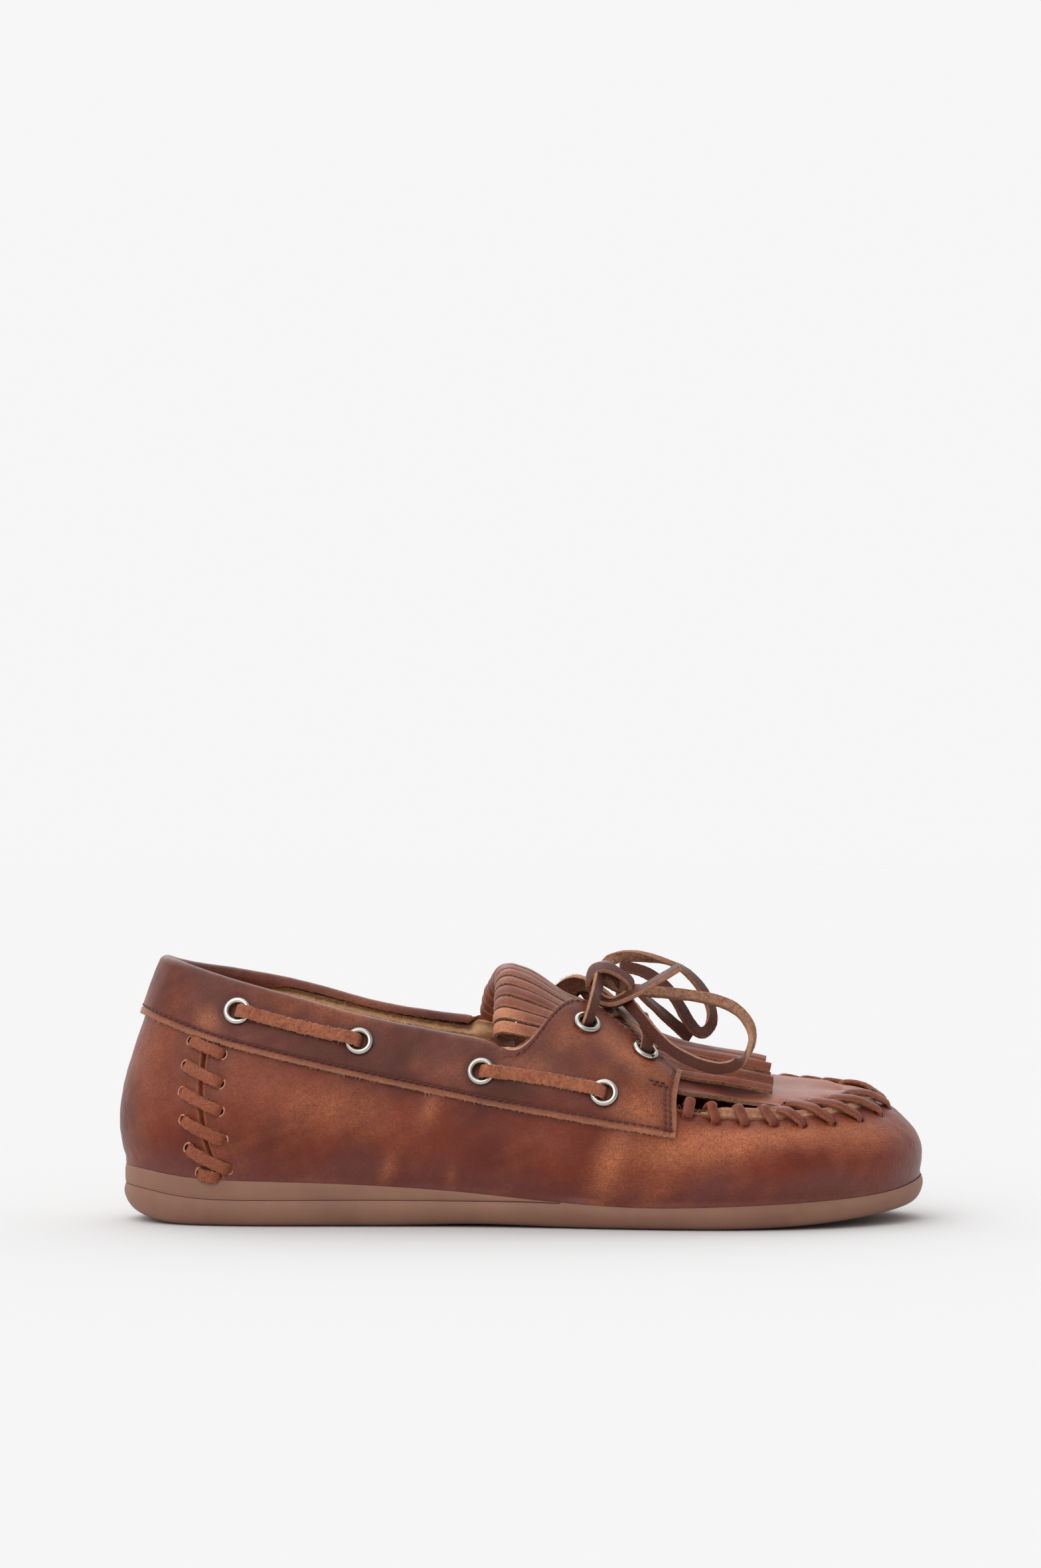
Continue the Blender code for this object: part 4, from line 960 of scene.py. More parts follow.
def soft_spots(points, side, rows):
    """Sum of tilted soft ellipses in side view: bell curves of the distance in their own half sizes."""
    x, z = points[..., 0], points[..., 2]
    total = np.zeros(x.shape)
    for row_side, at_x, at_z, wide, tall, tilt, strength in rows:
        turn = math.radians(tilt)
        along = ((x - at_x) * math.cos(turn) + (z - at_z) * math.sin(turn)) / wide
        up = ((z - at_z) * math.cos(turn) - (x - at_x) * math.sin(turn)) / tall
        total += ridge(np.hypot(along, up), 0, 1, strength) * ((side == row_side) | (row_side == 0))
    return total


def nearest(points, places):
    """Distance from each point to the nearest of some places."""
    return np.min([np.linalg.norm(points - place, axis=-1) for place in places], 0)


def on_last(sign, shares, heights, distance=0.0):
    """Points on one side of the last, or a distance off it, by share of the length and height number."""
    angle = sign * angle_of(shares)
    return offset_last(angle, heights, np.full(angle.shape, distance))


def hole_places(stitches, end):
    """Places of the stitches' holes on both sides: end 0 is the first of each pair."""
    shares, heights = np.array([pair[end] for pair in stitches]).T
    return np.concatenate([on_last(sign, shares, heights) for _, sign in SIDES])


def body_relief(points):
    """Unevenness that upper and saddle share: long waves and short ones."""
    return 0.22 * waves(points, 30, 11) + 0.08 * waves(points, 11, 12)


def relief_paint(points, wear, edge, low, crease):
    """Four layers of paint as one array, with the wear made uneven."""
    wear = np.clip(wear + 0.10 * waves(points, 22, 31) + 0.06 * waves(points, 7, 32), 0, 1)
    layers = [np.broadcast_to(np.clip(layer, 0, 1), wear.shape) for layer in (wear, edge, low, crease)]
    return np.stack(layers, -1)


def fold_weight(angle):
    """1 where the saddle's top is folded in over the collar, fading to 0 before the tabs."""
    return np.where(side_of(angle) > 0, *(fade(share_of(angle), *ends) for ends in FOLD_END.values()))


def saddle_place(side_angle, rise):
    """Angle and height on the last of the saddle, which leans forward towards its front as it rises.

    Rise 0 is its lower edge and 1 its upper edge, with a straight line in height between them.
    """
    share = share_of(side_angle)
    share = share + SADDLE_LEAN * fade(share, SADDLE_LEAN_FROM, SADDLE_FRONT) * rise
    angle = np.sign(side_angle) * angle_of(share)
    low = curve("band", angle)
    return angle, low + (through(SADDLE_TOP, share) - low) * rise


def tab_lift(angle, height):
    """How far the saddle stands off the last: its tabs' tips do, faded out before, behind and below."""
    start, full, end = TAB_SPAN
    share = share_of(angle)
    tip = np.where(side_of(angle) > 0, TAB_LIFT["lateral"], TAB_LIFT["medial"])
    return tip * fade(share, start, full) * fade(share, end, full) * fade(height, 1.15, 1.65)


def eyelet_frame(share, height, sign):
    """An eyelet's place on the saddle's outer face in millimetres: its point and the way out of the shoe."""
    def face(by_angle, by_height):
        """The face's point beside the eyelet."""
        angle, tall = np.array([sign * float(angle_of(share)) + by_angle]), np.array([height + by_height])
        return offset_last(angle, tall, GAP + SADDLE_WALL + tab_lift(angle, tall))[0]
    nudge = 0.01
    return face(0, 0), unit(np.cross(face(nudge, 0) - face(-nudge, 0), face(0, nudge) - face(0, -nudge)))


EYELET_PLACES = {(side, name): eyelet_frame(share, height, sign)
                 for side, sign in SIDES for name, share, height, _ in EYELETS}
THROUGH_UPPER = {name: deep for name, _, _, deep in EYELETS}


def raw_edge_rise(share):
    """How far the inner corner of the vamp's cut edge is turned up along the apron seam."""
    return fade(share, *SEAM_FROM) * (UPPER_WALL + 0.8 + 1.2 * fade(share, 0.88, 0.83))


def collar_pad(share, depth):
    """How far the padded lining stands in from the upper's inner face, at a depth below the upper's top."""
    leg = np.interp(share, *np.array(FOLD_LEG).T)
    padded = fade(share, *PAD_END) * (1 - fade(depth, *PAD_FOOT))
    return COLLAR_PAD * padded * smooth((depth - 0.4 - leg) / 1.8)


def upper_angles(count):
    """Angles round the shoe at even steps of a density that is higher across the two heel seams."""
    fine = np.linspace(0, TURN, 6001)
    share = share_of(fine)
    density = 1 + 2.4 * fade(share, 0.075, 0.085) * fade(share, 0.165, 0.155)
    total = np.concatenate([[0], np.cumsum((density[1:] + density[:-1]) / 2)])
    return np.interp(np.arange(count) / count * total[-1], total, fine)


def upper_inside(angles, top):
    """The upper's inner face: one leather inside its body, padded below the collar, opened along the seam."""
    rise = 1 - np.linspace(1, 0, LINING_STEPS) ** 1.5
    share = share_of(angles)[:, None]
    height = top * rise * (1 + RAW_EDGE_REACH * fade(share, *SEAM_FROM))
    angle = np.broadcast_to(angles[:, None], height.shape)
    points = last(angle, height)
    relief = (body_relief(points) - soft_lines(points, side_of(angle), FOLDS)) * fade(height, 0, 0.1)
    depth = (top - height) * girth(angles[:, None], top)
    relief = relief + 0.12 * waves(points, 2.5, 5) + raw_edge_rise(share) * (rise == 1.0)
    pad = collar_pad(share, depth) * (1 + 0.07 * waves(points, 3.5, 6))
    return offset_last(angle, height, relief - pad - UPPER_WALL)


def make_upper():
    """Vamp and quarters: the last between foot and edge line, moved out by its folds, seams and puckers.

    Each row goes up the outer face to the cut top edge and down the inner face, one leather inside it.
    """
    angles = upper_angles(UPPER_ROWS)
    top = (1 - fold_weight(angles) * UPPER_DROP / girth(angles, 1.0))[:, None]
    rise = np.linspace(0, 1, UPPER_STEPS)
    height = top * (rise + 0.35 * rise * (1 - rise) * (2 * rise - 1))
    angle = np.broadcast_to(angles[:, None], height.shape)
    points = last(angle, height)
    side, share = side_of(angle), share_of(angle)
    bare = np.maximum(fade(curve("band", angle) - height, 0, 0.05), fade(share, 0.70, 0.72))
    sewn = fade(share, 0.69, 0.71)
    rolled = fade(height, 0.86, 1) * fade(share, 0.66, 0.71)
    from_seam = (share - through(HEEL_SEAM, np.clip(height, 0, 0.9))) * LENGTH
    from_panel = (through(HEEL_PANEL, np.clip(height, 0, PANEL_TOP)) - share) * LENGTH
    from_edge = (1 - height) * girth(angles[:, None], top)
    seam = ridge(from_seam, 0, 0.42, bare)
    lip = ridge(from_seam, 1, 0.45, bare) + ridge(from_seam, -1, 0.5, bare)
    panel = fade(from_panel, 0, 0.9) * fade(height, PANEL_TOP, PANEL_TOP - 0.02) * fade(from_seam, 0, 1)
    heel_holes = [*hole_places(HEEL_STITCHES, 0), *hole_places(HEEL_STITCHES, 1)]
    dimple = ridge(nearest(points, heel_holes), 0, 2.6, 1)
    pucker = ridge(nearest(points, hole_places(SEAM_STITCHES, 0)), 0, 2.8, 1)
    stitches = [pair[0][0] for pair in SEAM_STITCHES]
    between = np.cos(np.interp(share, stitches, np.arange(len(stitches))) * TURN)
    relief = body_relief(points) + 0.05 * waves(points, 4.0, 13) * bare - soft_lines(points, side, FOLDS)
    relief = relief + LIP_RISE * lip + PANEL_RISE * panel - SEAM_DEPTH * seam
    relief = relief - DIMPLE * dimple - PUCKER * pucker - rolled * (0.35 + 0.25 * between)
    relief = relief - ridge(from_edge, 1, 0.5, 0.8) * sewn * fade(share, 0.88, 0.83)
    tuck = smooth(1 - height * girth(angles, 0.2)[:, None] / 5)
    outer = offset_last(angle, height, (relief - FOOT_TUCK * tuck) * fade(height, 0, 0.04))
    inner = upper_inside(angles, top)
    foot = curve("foot", angles)[:, None] + 0.05
    outer[:, :1, 2], inner[:, :1, 2] = foot, foot
    up = outer[..., 2] - foot
    beside_seam = smooth(1 - from_edge / 8 + 0.15 * waves(points, 12, 43)) * sewn
    wear = soft_spots(outer, side, UPPER_WEAR_AND_HIGHLIGHTS) + 0.45 * lip - 0.3 * seam
    wear = (wear + ridge(from_panel, 0, 0.6, 0.35) * panel) * (1 - 0.85 * beside_seam)
    # Plum paint: near the sole the plum is a painted reflection of the pale floor, and on the heel from about
    # 18 mm up it is a painted haze, the grazing reflection there.
    low = 0.95 * smooth(1 - up / 13 + 0.25 * waves(points, 24, 41)) + 0.25 * fade(up, 18, 26) * (share < 0.13)
    low = low + 0.45 * beside_seam
    crease = bare * (0.15 + 0.85 * fade(share, 0.52, 0.62)) * (1 - 0.6 * low)
    edge = rolled * fade(height, 0.975, 1) + 0.5 * seam
    paint = relief_paint(outer, wear, edge, low, crease)
    finishes = ["pull_up_leather", "flesh_lining", "cut_edge", "toe_lining"]
    return leather_piece("upper", outer, inner, finishes, paint, wrap=True, rim=4, ragged=0.18, seed=3,
                         deep=share_of(angles) > TOE_SHADE_FROM)


def saddle_rows():
    """The saddle's rows: closely spaced towards its two front edges."""
    near_end = SADDLE_END - 0.09
    half = np.concatenate([np.linspace(0, near_end, 190), np.linspace(near_end, SADDLE_END, 28)[1:]])
    return np.concatenate([-half[:0:-1], half])


def folded(grid, radius, centre, normal, top, turn, leg):
    """A grid whose last column goes on round a centre: from the normal towards the top, then along a leg."""
    arc = turn * np.linspace(0, 1, 17)[1:, None]
    bent = centre + (normal * np.cos(arc) + top * np.sin(arc)) * radius
    bent = bent + (grid[:, -1:] - centre - normal * radius) * (1 - arc / math.pi)
    return np.concatenate([grid, bent, bent[:, -1:] + leg], 1)


def make_saddle():
    """The collar band with its eyelet tabs: rows up the outer face, over a round fold and down inside.

    The fold is part of a circle about a centre inside the wall, of as large an angle as its weight says,
    with a short straight leg behind it. Round holes are cut for the eyelets.
    """
    side_angle, rise = np.meshgrid(saddle_rows(), np.linspace(0, 1, SADDLE_STEPS), indexing="ij")
    angle, full_height = saddle_place(side_angle, rise)
    ends = angle[:, -1:]
    weight, share = fold_weight(ends), share_of(ends)
    turn = math.pi * weight * (1 - FOLD_OPENED * fade(share, *FOLD_OPEN))
    collar = np.interp(share, *np.array(COLLAR_RISE).T) / girth(ends, full_height[:, -1:])
    full_height = full_height + collar * rise**2
    low, full = full_height[:, :1], full_height[:, -1:]
    scale = girth(ends, full)
    drop = FOLD_RADIUS * np.sin(np.minimum(turn, math.pi / 2)) / scale
    inner_height = low + (full - low - drop) * rise
    height = low + (full - low - drop - TAB_BEVEL * (1 - weight) / scale) * rise
    lower = (full_height - low) * girth(angle[:, :1], low)
    upper = (full - full_height) * scale
    front = (SADDLE_FRONT - share_of(side_angle)) * LENGTH
    points = last(angle, height)
    lift, inner_lift = tab_lift(angle, height), tab_lift(angle, inner_height)
    relief = body_relief(points) + 0.04 * waves(points, 4.5, 21)
    pressed = fade(nearest(offset_last(angle, height, GAP + SADDLE_WALL + lift),
                           [place for place, _ in EYELET_PLACES.values()]), *EYELET_PRESS)
    dents = ridge(lower, LOWER_ROW, 0.55, 0.32) - ridge(lower, 1.0, 0.8, 0.22) - ridge(front, 0.6, 0.6, 0.12)
    outer_row, inner_row = (ridge(front, at, 0.4, 0.25) for at in FRONT_ROWS)
    dents = dents + outer_row + inner_row * (rise < TACK_RISE)
    dents = dents + (1 - weight) * ridge(upper, TAB_ROW, 0.5, 0.28) + 0.16 * pressed
    outer = offset_last(angle, height, GAP + SADDLE_WALL + lift + relief - dents)
    inner = offset_last(angle, inner_height, GAP + inner_lift + relief - 0.16 * pressed)
    normal = outward(ends, height[:, -1:])
    top = unit(last(ends, height[:, -1:] + 0.02) - last(ends, height[:, -1:] - 0.02))
    centre = offset_last(ends, inner_height[:, -1:], FOLD_CENTRE + inner_lift[:, -1:] + relief[:, -1:])
    turn = turn[..., None]
    leg = np.interp(share, *np.array(FOLD_LEG).T) * weight**2 * (1 + 0.12 * waves(outer[:, -1:], 14, 22))
    leg = leg[..., None] * np.linspace(0, 1, 8)[1:, None] * (top * np.cos(turn) - normal * np.sin(turn))
    outer = folded(outer, FOLD_RADIUS, centre, normal, top, turn, leg)
    inner = folded(inner, FOLD_RADIUS - SADDLE_WALL, centre, normal, top, turn, leg)
    extra = outer.shape[1] - rise.shape[1]
    lower, front, pressed = (np.pad(grid, ((0, 0), (0, extra)), "edge") for grid in (lower, front, pressed))
    wear = soft_spots(outer, side_of(angle[:, :1]), SADDLE_WEAR) + ridge(lower, 1.0, 0.7, 0.45)
    wear = wear - ridge(lower, 2.3, 0.7, 0.3) + ridge(front, 1.0, 0.7, 0.4) - 0.2 * pressed
    over = np.append(np.zeros(rise.shape[1]), np.linspace(0.05, 1, extra))
    low = 0.175 + 0.175 * waves(outer, 34, 42) + ridge(over, 0.15, 0.2, 0.9) * (over > 0) + 0.6 * (over > 0.5)
    paint = relief_paint(outer, wear, ridge(lower, 0, 0.7, 0.8) + ridge(front, 0, 0.7, 0.8), low, 0.2)
    finishes = ["collar_leather", "flesh_side", "cut_edge"]
    made = leather_piece("saddle", outer, inner, finishes, paint, ragged=0.16, seed=4)
    cut_holes(made, EYELET_PLACES.values(), millimetres("hole_radius"))
    return made


def frame_matrix(point, out):
    """A matrix in metres at a place, with its z axis along the way out."""
    turned = Vector(out).to_track_quat("Z", "X").to_matrix().to_4x4()
    return Matrix.Translation(Vector((point + SHIFT) * MM)) @ turned


def cut_holes(target, places, radius):
    """Round holes through a leather piece, as the difference between it and a set of cylinders."""
    build = bmesh.new()
    for point, out in places:
        bmesh.ops.create_cone(build, cap_ends=True, segments=32, radius1=radius * MM, radius2=radius * MM,
                              depth=HOLE_REACH * MM, matrix=frame_matrix(point, out))
    mesh = bpy.data.meshes.new("hole_cutter")
    build.to_mesh(mesh)
    build.free()
    cutter = new_object("hole_cutter", mesh)
    step = target.modifiers.new("holes", "BOOLEAN")
    step.object = cutter
    step.operation = "DIFFERENCE"
    step.solver = "EXACT"
    cut = bpy.data.meshes.new_from_object(target.evaluated_get(bpy.context.evaluated_depsgraph_get()))
    target.modifiers.clear()
    target.data = cut
    bpy.data.objects.remove(cutter)


# An eyelet's profile from its barrel out over the dome: radius, and height over the leather.
EYELET_PROFILE = (
    (2.55, 0.27), (2.60, 0.62), (2.74, 0.90), (2.98, 1.10), (3.30, 1.21), (3.65, 1.22), (3.98, 1.10),
    (4.26, 0.86), (4.42, 0.54), (4.46, 0.27), (4.36, 0.14), (3.30, 0.14),
)
BARREL = (2.55, 3.25)
EYELET_SIDES = 48


def make_eyelets():
    """Twelve eyelets: each a profile of radius and height turned about the way out of the leather."""
    made = []
    turn = np.arange(EYELET_SIDES)[:, None] * TURN / EYELET_SIDES
    for (side, name), (point, out) in EYELET_PLACES.items():
        deep = SADDLE_WALL + GAP + (UPPER_WALL + 0.5 if THROUGH_UPPER[name] else 0.4)
        radius, up = np.array([(BARREL[0], -deep), *EYELET_PROFILE, (BARREL[1], -deep)]).T
        local = np.stack(np.broadcast_arrays(np.cos(turn) * radius, np.sin(turn) * radius, up), -1)
        points = local.reshape(-1, 3) @ np.array(frame_matrix(point, out).to_3x3()).T + point
        made.append(new_piece(f"eyelet_ring_{side}_{name}", points, ring_faces(EYELET_SIDES, len(up), True),
                              ["polished_nickel"], sharp=50, slot="eyelet_metal",
                              replaces=(f"eyelet_{side}_{name}",)))
    return made


def over_crest(share, side_table, row):
    """Angles and heights of a piece that lies over the crest; row runs from -1, lateral, to 1, medial."""
    side = through(side_table, share)
    return np.where(row <= 0, 1, -1) * angle_of(share), side + (CREST_HEIGHT - side) * (1 - np.abs(row))


TONGUE_WALL = 1.4
APRON_REAR_ROWS, APRON_TOE_ROWS, APRON_COLUMNS = 110, 66, 141


def apron_drop(share):
    """How far the tongue lies below the apron, at a share of the length."""
    return APRON_DROP * (1 - fade(share, *APRON_RISE))


def make_apron():
    """The apron and the tongue behind it: rows from side to side over the crest, from the rear to the toe.

    It is the last lowered where it is the tongue, with dents at the stitches and a raised rim.
    """
    toe = 1 - (1 - np.linspace(0, 1, APRON_TOE_ROWS)[1:]) ** 1.6 * 0.14
    share = np.concatenate([np.linspace(0.50, 0.86, APRON_REAR_ROWS), toe])[:, None]
    row = np.linspace(-1, 1, APRON_COLUMNS)
    row = row + 0.10 * np.sin(row * math.pi) / math.pi
    angle, height = over_crest(share, APRON_SIDE, row)
    sewn, drop = fade(share, *APRON_RISE), apron_drop(share)
    points = last(angle, height)
    away = nearest(points, hole_places(SEAM_STITCHES[FREE_STITCHES:], 1))
    soft = ridge(away, 0, 5.0, 1)
    from_edge = (1 - np.abs(row)) * girth(angle[:, :1], height[:, :1]) * (CREST_HEIGHT - height[:, :1])
    rim = ridge(from_edge, 0, 2.2, 1)
    relief = 0.2 * waves(points, 26, 51) + 0.07 * waves(points, 8, 52)
    relief = relief - ridge(away, 0, 2.4, 0.8) - 0.25 * soft
    relief = relief * (1 - 0.7 * fade(share, 0.995, 1)) + (0.35 - 0.7 * sewn) * rim
    side = (CREST_HEIGHT - height) / (CREST_HEIGHT - height[:, :1])
    outer = offset_last(angle, height, relief - drop)
    bevel = SEAM_BEVEL * fade(share, 0.86, 0.91)
    inner = offset_last(angle, height + bevel * side, 0.6 * relief - drop - TONGUE_WALL)
    # Partly painted light: the plum on the tongue, where it is not sewn, is a painted reflection, the grey
    # sheen on it, and part of the gold over the sewn apron is a painted highlight of the same pale sheen; the
    # rest is tone and wear.
    low = 0.65 - 0.4 * sewn + 0.5 * rim * sewn + 0.2 * waves(points, 20, 53)
    wear = 0.05 + (0.40 + 0.30 * soft) * sewn + 0.1 * rim
    finishes = ["pull_up_leather", "flesh_side", "cut_edge"]
    paint = relief_paint(outer, wear, 0.3 * rim, low, 0.25)
    return leather_piece("apron", outer, inner, finishes, paint, rim=4, ragged=0.1, seed=6)


STRIPS = 14
STRIP_COLUMNS = 7
STRIP_WALL = 1.1
SLIT = 0.015  # half its width, in rows
KILTIE_STEPS = 62
ROLL_STEPS = 26
# The lowest strips' gold over the roll is partly painted highlight.
GOLD_STRIPS = 2  # the lowest ones on the lateral side are rubbed over the roll
# What those and the other strips gain over the roll: wear, unworn tone and rubbing; on the lowest strips the
# wear and rubbing are partly a painted highlight on the roll.
ROLL_WEAR_AND_HIGHLIGHT = ((1.1, -0.7, 0.9), (0.12, 0.2, 0.0))
# Least and most of each strip's lift, tilt, trim, wear and unworn tone.
STRIP_RANGE = ((-0.5, -0.9, -1.5, 0.15, 0.45), (0.9, 0.9, 1.0, 0.35, 0.80))


def kiltie_lift(angle, height):
    """How far the kiltie's top stands above the last: it rises to its roll and to its front ends."""
    share = share_of(angle)
    middle = fade(np.abs(CREST_HEIGHT - height), 0.7, 0)
    front = fade(share, 0.70, KILTIE_FRONT) * (1.8 + 5.0 * middle)
    return front + fade(share, 0.56, 0.47) * (0.6 + 3.2 * middle) - GAP


def kiltie_grid(row, depth):
    """The kiltie's surface at a depth below its top, in rows from the front ends back and round the roll.

    The roll is part of a circle: its radius turns from the sheet's normal towards the way back.
    """
    near, middle, far = KILTIE_ROLL["lateral"], KILTIE_ROLL["crest"], KILTIE_ROLL["medial"]
    start = np.where(row < 0, middle + (near - middle) * smooth(-row), middle + (far - middle) * smooth(row))
    share = KILTIE_FRONT + (start - KILTIE_FRONT) * np.linspace(0, 1, KILTIE_STEPS)[:, None]
    angle, height = over_crest(share, KILTIE_SIDE, row)
    sheet = offset_last(angle, height, kiltie_lift(angle, height))
    top = sheet[-1]
    back = unit(top - sheet[-2])
    normal = unit(np.cross(np.gradient(top, axis=0), back))
    normal *= np.sign(normal[:, 2:])
    down = unit(np.cross(np.gradient(sheet, axis=1), np.gradient(sheet, axis=0)))
    down *= -np.sign(down[:, :, 2:])
    down[-1] = -normal
    turn = np.linspace(0, ROLL_TURN, ROLL_STEPS)[1:, None, None]
    curl = top - normal * ROLL_RADIUS + (normal * np.cos(turn) + back * np.sin(turn)) * (ROLL_RADIUS - depth)
    return np.concatenate([sheet + down * depth, curl])


def make_kiltie():
    """The fringed flap: strips cut from one sheet, side by side over the roll and spread at the front.

    Each strip is crowned, lifted and tilted by its own draw, the more so the nearer its free end is.
    """
    draw = np.random.default_rng(61)
    borders = np.linspace(-1, 1, STRIPS + 1)
    row = np.concatenate([np.linspace(start + SLIT, end - SLIT, STRIP_COLUMNS)
                          for start, end in zip(borders, borders[1:])])
    outer, inner = kiltie_grid(row, 0.0), kiltie_grid(row, STRIP_WALL)
    step = np.arange(len(outer))[:, None]
    free = smooth(1 - step / (KILTIE_STEPS * 0.8))
    on_roll, past_roll = KILTIE_STEPS * 0.9, KILTIE_STEPS + ROLL_STEPS * 0.7
    rolled = fade(step, on_roll, on_roll + 8) * fade(step, past_roll, past_roll - 8)
    spread = np.linspace(-1, 1, STRIP_COLUMNS)
    crown = spread**2
    shells = []
    for i in range(STRIPS):
        at = slice(i * STRIP_COLUMNS, (i + 1) * STRIP_COLUMNS)
        lift, tilt, trim, wear, low = draw.uniform(*STRIP_RANGE)
        lie = 0.16 * waves(outer[:, at], 18, 70 + i) - 0.22 * crown
        lie = lie + free * (lift + tilt * spread) * (0.5 + 0.5 * free)
        move = unit(outer[:, at] - inner[:, at]) * lie[..., None] + free[..., None] ** 3 * (trim, 0, 0)
        out, under = outer[:, at] + move, inner[:, at] + move
        gilt, sunk, rubbed = ROLL_WEAR_AND_HIGHLIGHT[i >= GOLD_STRIPS]
        edge = 0.6 * crown**3 + rubbed * rolled
        paint = relief_paint(out, wear + gilt * rolled, edge, low + sunk * rolled, 0.25)
        rings, faces, slots = leather_shell(out, under, rim=2, ragged=0.05, seed=80 + i)
        shells.append((rings.reshape(-1, 3), faces, shell_paint(paint, STRIP_COLUMNS, 2), slots))
    points, faces, paint, slots = join_shells(shells)
    finishes = ["pull_up_leather", "flesh_side", "flesh_side"]
    return new_piece("kiltie_fringe", points, faces, finishes, slots, paint, weld=0, slot="upper_leather",
                     replaces=("kiltie",))


# ---------- Sole ----------

SIPE_PITCH, SIPE_DEPTH = 7.0, 1.2
SIPE_WAVE = (12.0, 1.5)  # its length across the sole and its size
SIPE_ENDS = (14.0, 244.0)
SIPE_WAIST = (116.0, 24.0)  # the middle and half length of the plain stretch


def floor_height(x):
    """The outsole's underside: flat at heel and ball, and between them an arch, a squared sine.

    The toe springs and the heel's end curls by the square of the distance past where each starts.
    """
    start, end = ARCH_SPAN
    spring_from, spring = TOE_SPRING
    curl_to, curl = HEEL_CURL
    rise = ARCH_RISE * np.sin(math.pi * np.clip((x - start) / (end - start), 0, 1)) ** 2
    return rise + spring * np.clip(x - spring_from, 0, None) ** 2 + curl * np.clip(curl_to - x, 0, None) ** 2


def foot(x):
    """Height of the foot line by distance from the heel."""
    return curve("foot", angle_of(np.clip(x / LENGTH, 0, 1)))


def parting(x):
    """Height of the line between outsole and wedge."""
    return curve("parting", angle_of(np.clip(x / LENGTH, 0, 1)))


def fine_wall(wall, steps):
    """A wall's profile of (inset, share) with rounded corners and more steps."""
    rows = np.array(wall)
    smooth_rows = spline_weights(np.arange(len(wall)), np.linspace(0, len(wall) - 1, steps)) @ rows
    return np.clip(smooth_rows, rows.min(0), rows.max(0))


def sole_layer(angles, wall, lower, upper, bottom_columns, top_columns):
    """Closed rings across a sole layer: along its underside, up one wall, back over, down the other."""
    def wall_line(sign, inset, share):
        """The points of one wall, at an inset and a share of its height."""
        x = inset + (LENGTH - 2 * inset) * share_of(angles)
        y = curve("outline", sign * angles) + sign * np.sin(angles) * inset
        return np.stack([x, y, lower(x) + (upper(x) - lower(x)) * share], -1)

    near, far = ([wall_line(sign, inset, share) for inset, share in wall] for sign in (1, -1))
    under = [near[0] * (1 - part) + far[0] * part for part in np.linspace(0, 1, bottom_columns)]
    over = [far[-1] * (1 - part) + near[-1] * part for part in np.linspace(0, 1, top_columns)]
    return np.stack([*under, *far[1:-1], *over, *near[-2:0:-1]], 1)


def sole_piece(name, rings, finish_name, slot, node):
    """A sole layer's rings as a piece."""
    return new_piece(name, rings.reshape(-1, 3), tube_faces(*rings.shape[:2]), [finish_name], sharp=40,
                     slot=slot, replaces=(node,))


def make_outsole():
    """The outsole, with wavy siping cut in its underside: a cosine's crests, inside a border."""
    bottom = 96
    rings = sole_layer(np.linspace(0, math.pi, 561), fine_wall(OUTSOLE_WALL, 18), floor_height,
                       lambda x: np.where(x < WEDGE_END + GAP, parting(x), foot(x)), bottom, 8)
    under = rings[:, :bottom]
    x, y = under[..., 0], under[..., 1]
    (heel, toe), (waist, half) = SIPE_ENDS, SIPE_WAIST
    border = np.minimum.reduce([under[:, -1:, 1] - y, y - under[:, :1, 1], x - heel, toe - x])
    inside = fade(border, 3, 3.8) * fade(np.abs(x - waist), half, half + 1.5)
    wave = x + SIPE_WAVE[1] * np.sin(y * TURN / SIPE_WAVE[0])
    under[..., 2] += SIPE_DEPTH * fade(np.cos(wave * TURN / SIPE_PITCH), 0.72, 0.84) * inside
    rings = rings + 0.02 * waves(rings, 18, 91)[..., None] * np.array([0, 1, 0]) * smooth(rings[..., 2:] / 2)
    return sole_piece("outsole_rubber", rings, "crepe_rubber", "sole_rubber", "outsole")


def make_wedge():
    """The wedge, down to a feather edge at the waist."""
    angles = angle_of(np.linspace(0, (WEDGE_END - 0.5) / (LENGTH - 1), 300))
    rings = sole_layer(angles, fine_wall(WEDGE_WALL, 10), lambda x: parting(x) + GAP * 0.6,
                       lambda x: np.maximum(foot(x), parting(x) + GAP), 6, 6)
    return sole_piece("wedge_rubber", rings, "crepe_rubber", "sole_rubber", "wedge")


def make_insole():
    """The insole, uneven on its upper face only."""
    inset = FOOT_INSET + UPPER_WALL + 1.2
    wall = ((inset, 0.0), (inset - 0.3, 0.4), (inset - 0.2, 0.8), (inset + 0.6, 1.0))
    rings = sole_layer(np.linspace(0, math.pi, 221), wall, lambda x: foot(x) + GAP,
                       lambda x: foot(x) + GAP + INSOLE_WALL, 5, 61)
    uneven = 0.15 * waves(rings, 40, 92) + 0.04 * waves(rings, 9, 93)
    rings[..., 2] += uneven * (rings[..., 2] > foot(rings[..., 0]) + 2)
    return sole_piece("insole_pad", rings, "insole_suede", "insole_suede", "insole")


# ---------- Lace ----------

THONG_THICKNESS = 1.4
FREE_THICKNESS = 1.7
STITCH_THICKNESS = 1.5
# A side bar's rise out of its eyelet: distance along it and height over the saddle; and its middle's.
BAR_EXIT = ((0, -1.6), (0.15, 0), (0.8, 1.7), (2.4, 2.5), (4.6, 2.6), (7, 2), (11, 1.35))
BAR_MIDDLE = 1.1
BARS = (("rear", "collar_1", "collar_2"), ("front", "collar_3", "collar_4"))
BAR_RAGGED = 0.13
EXIT_TILT = ((0.0, 0.8, 2.4), (1.0, 0.75, 0.0))  # distances from an eyelet, and the tilt there
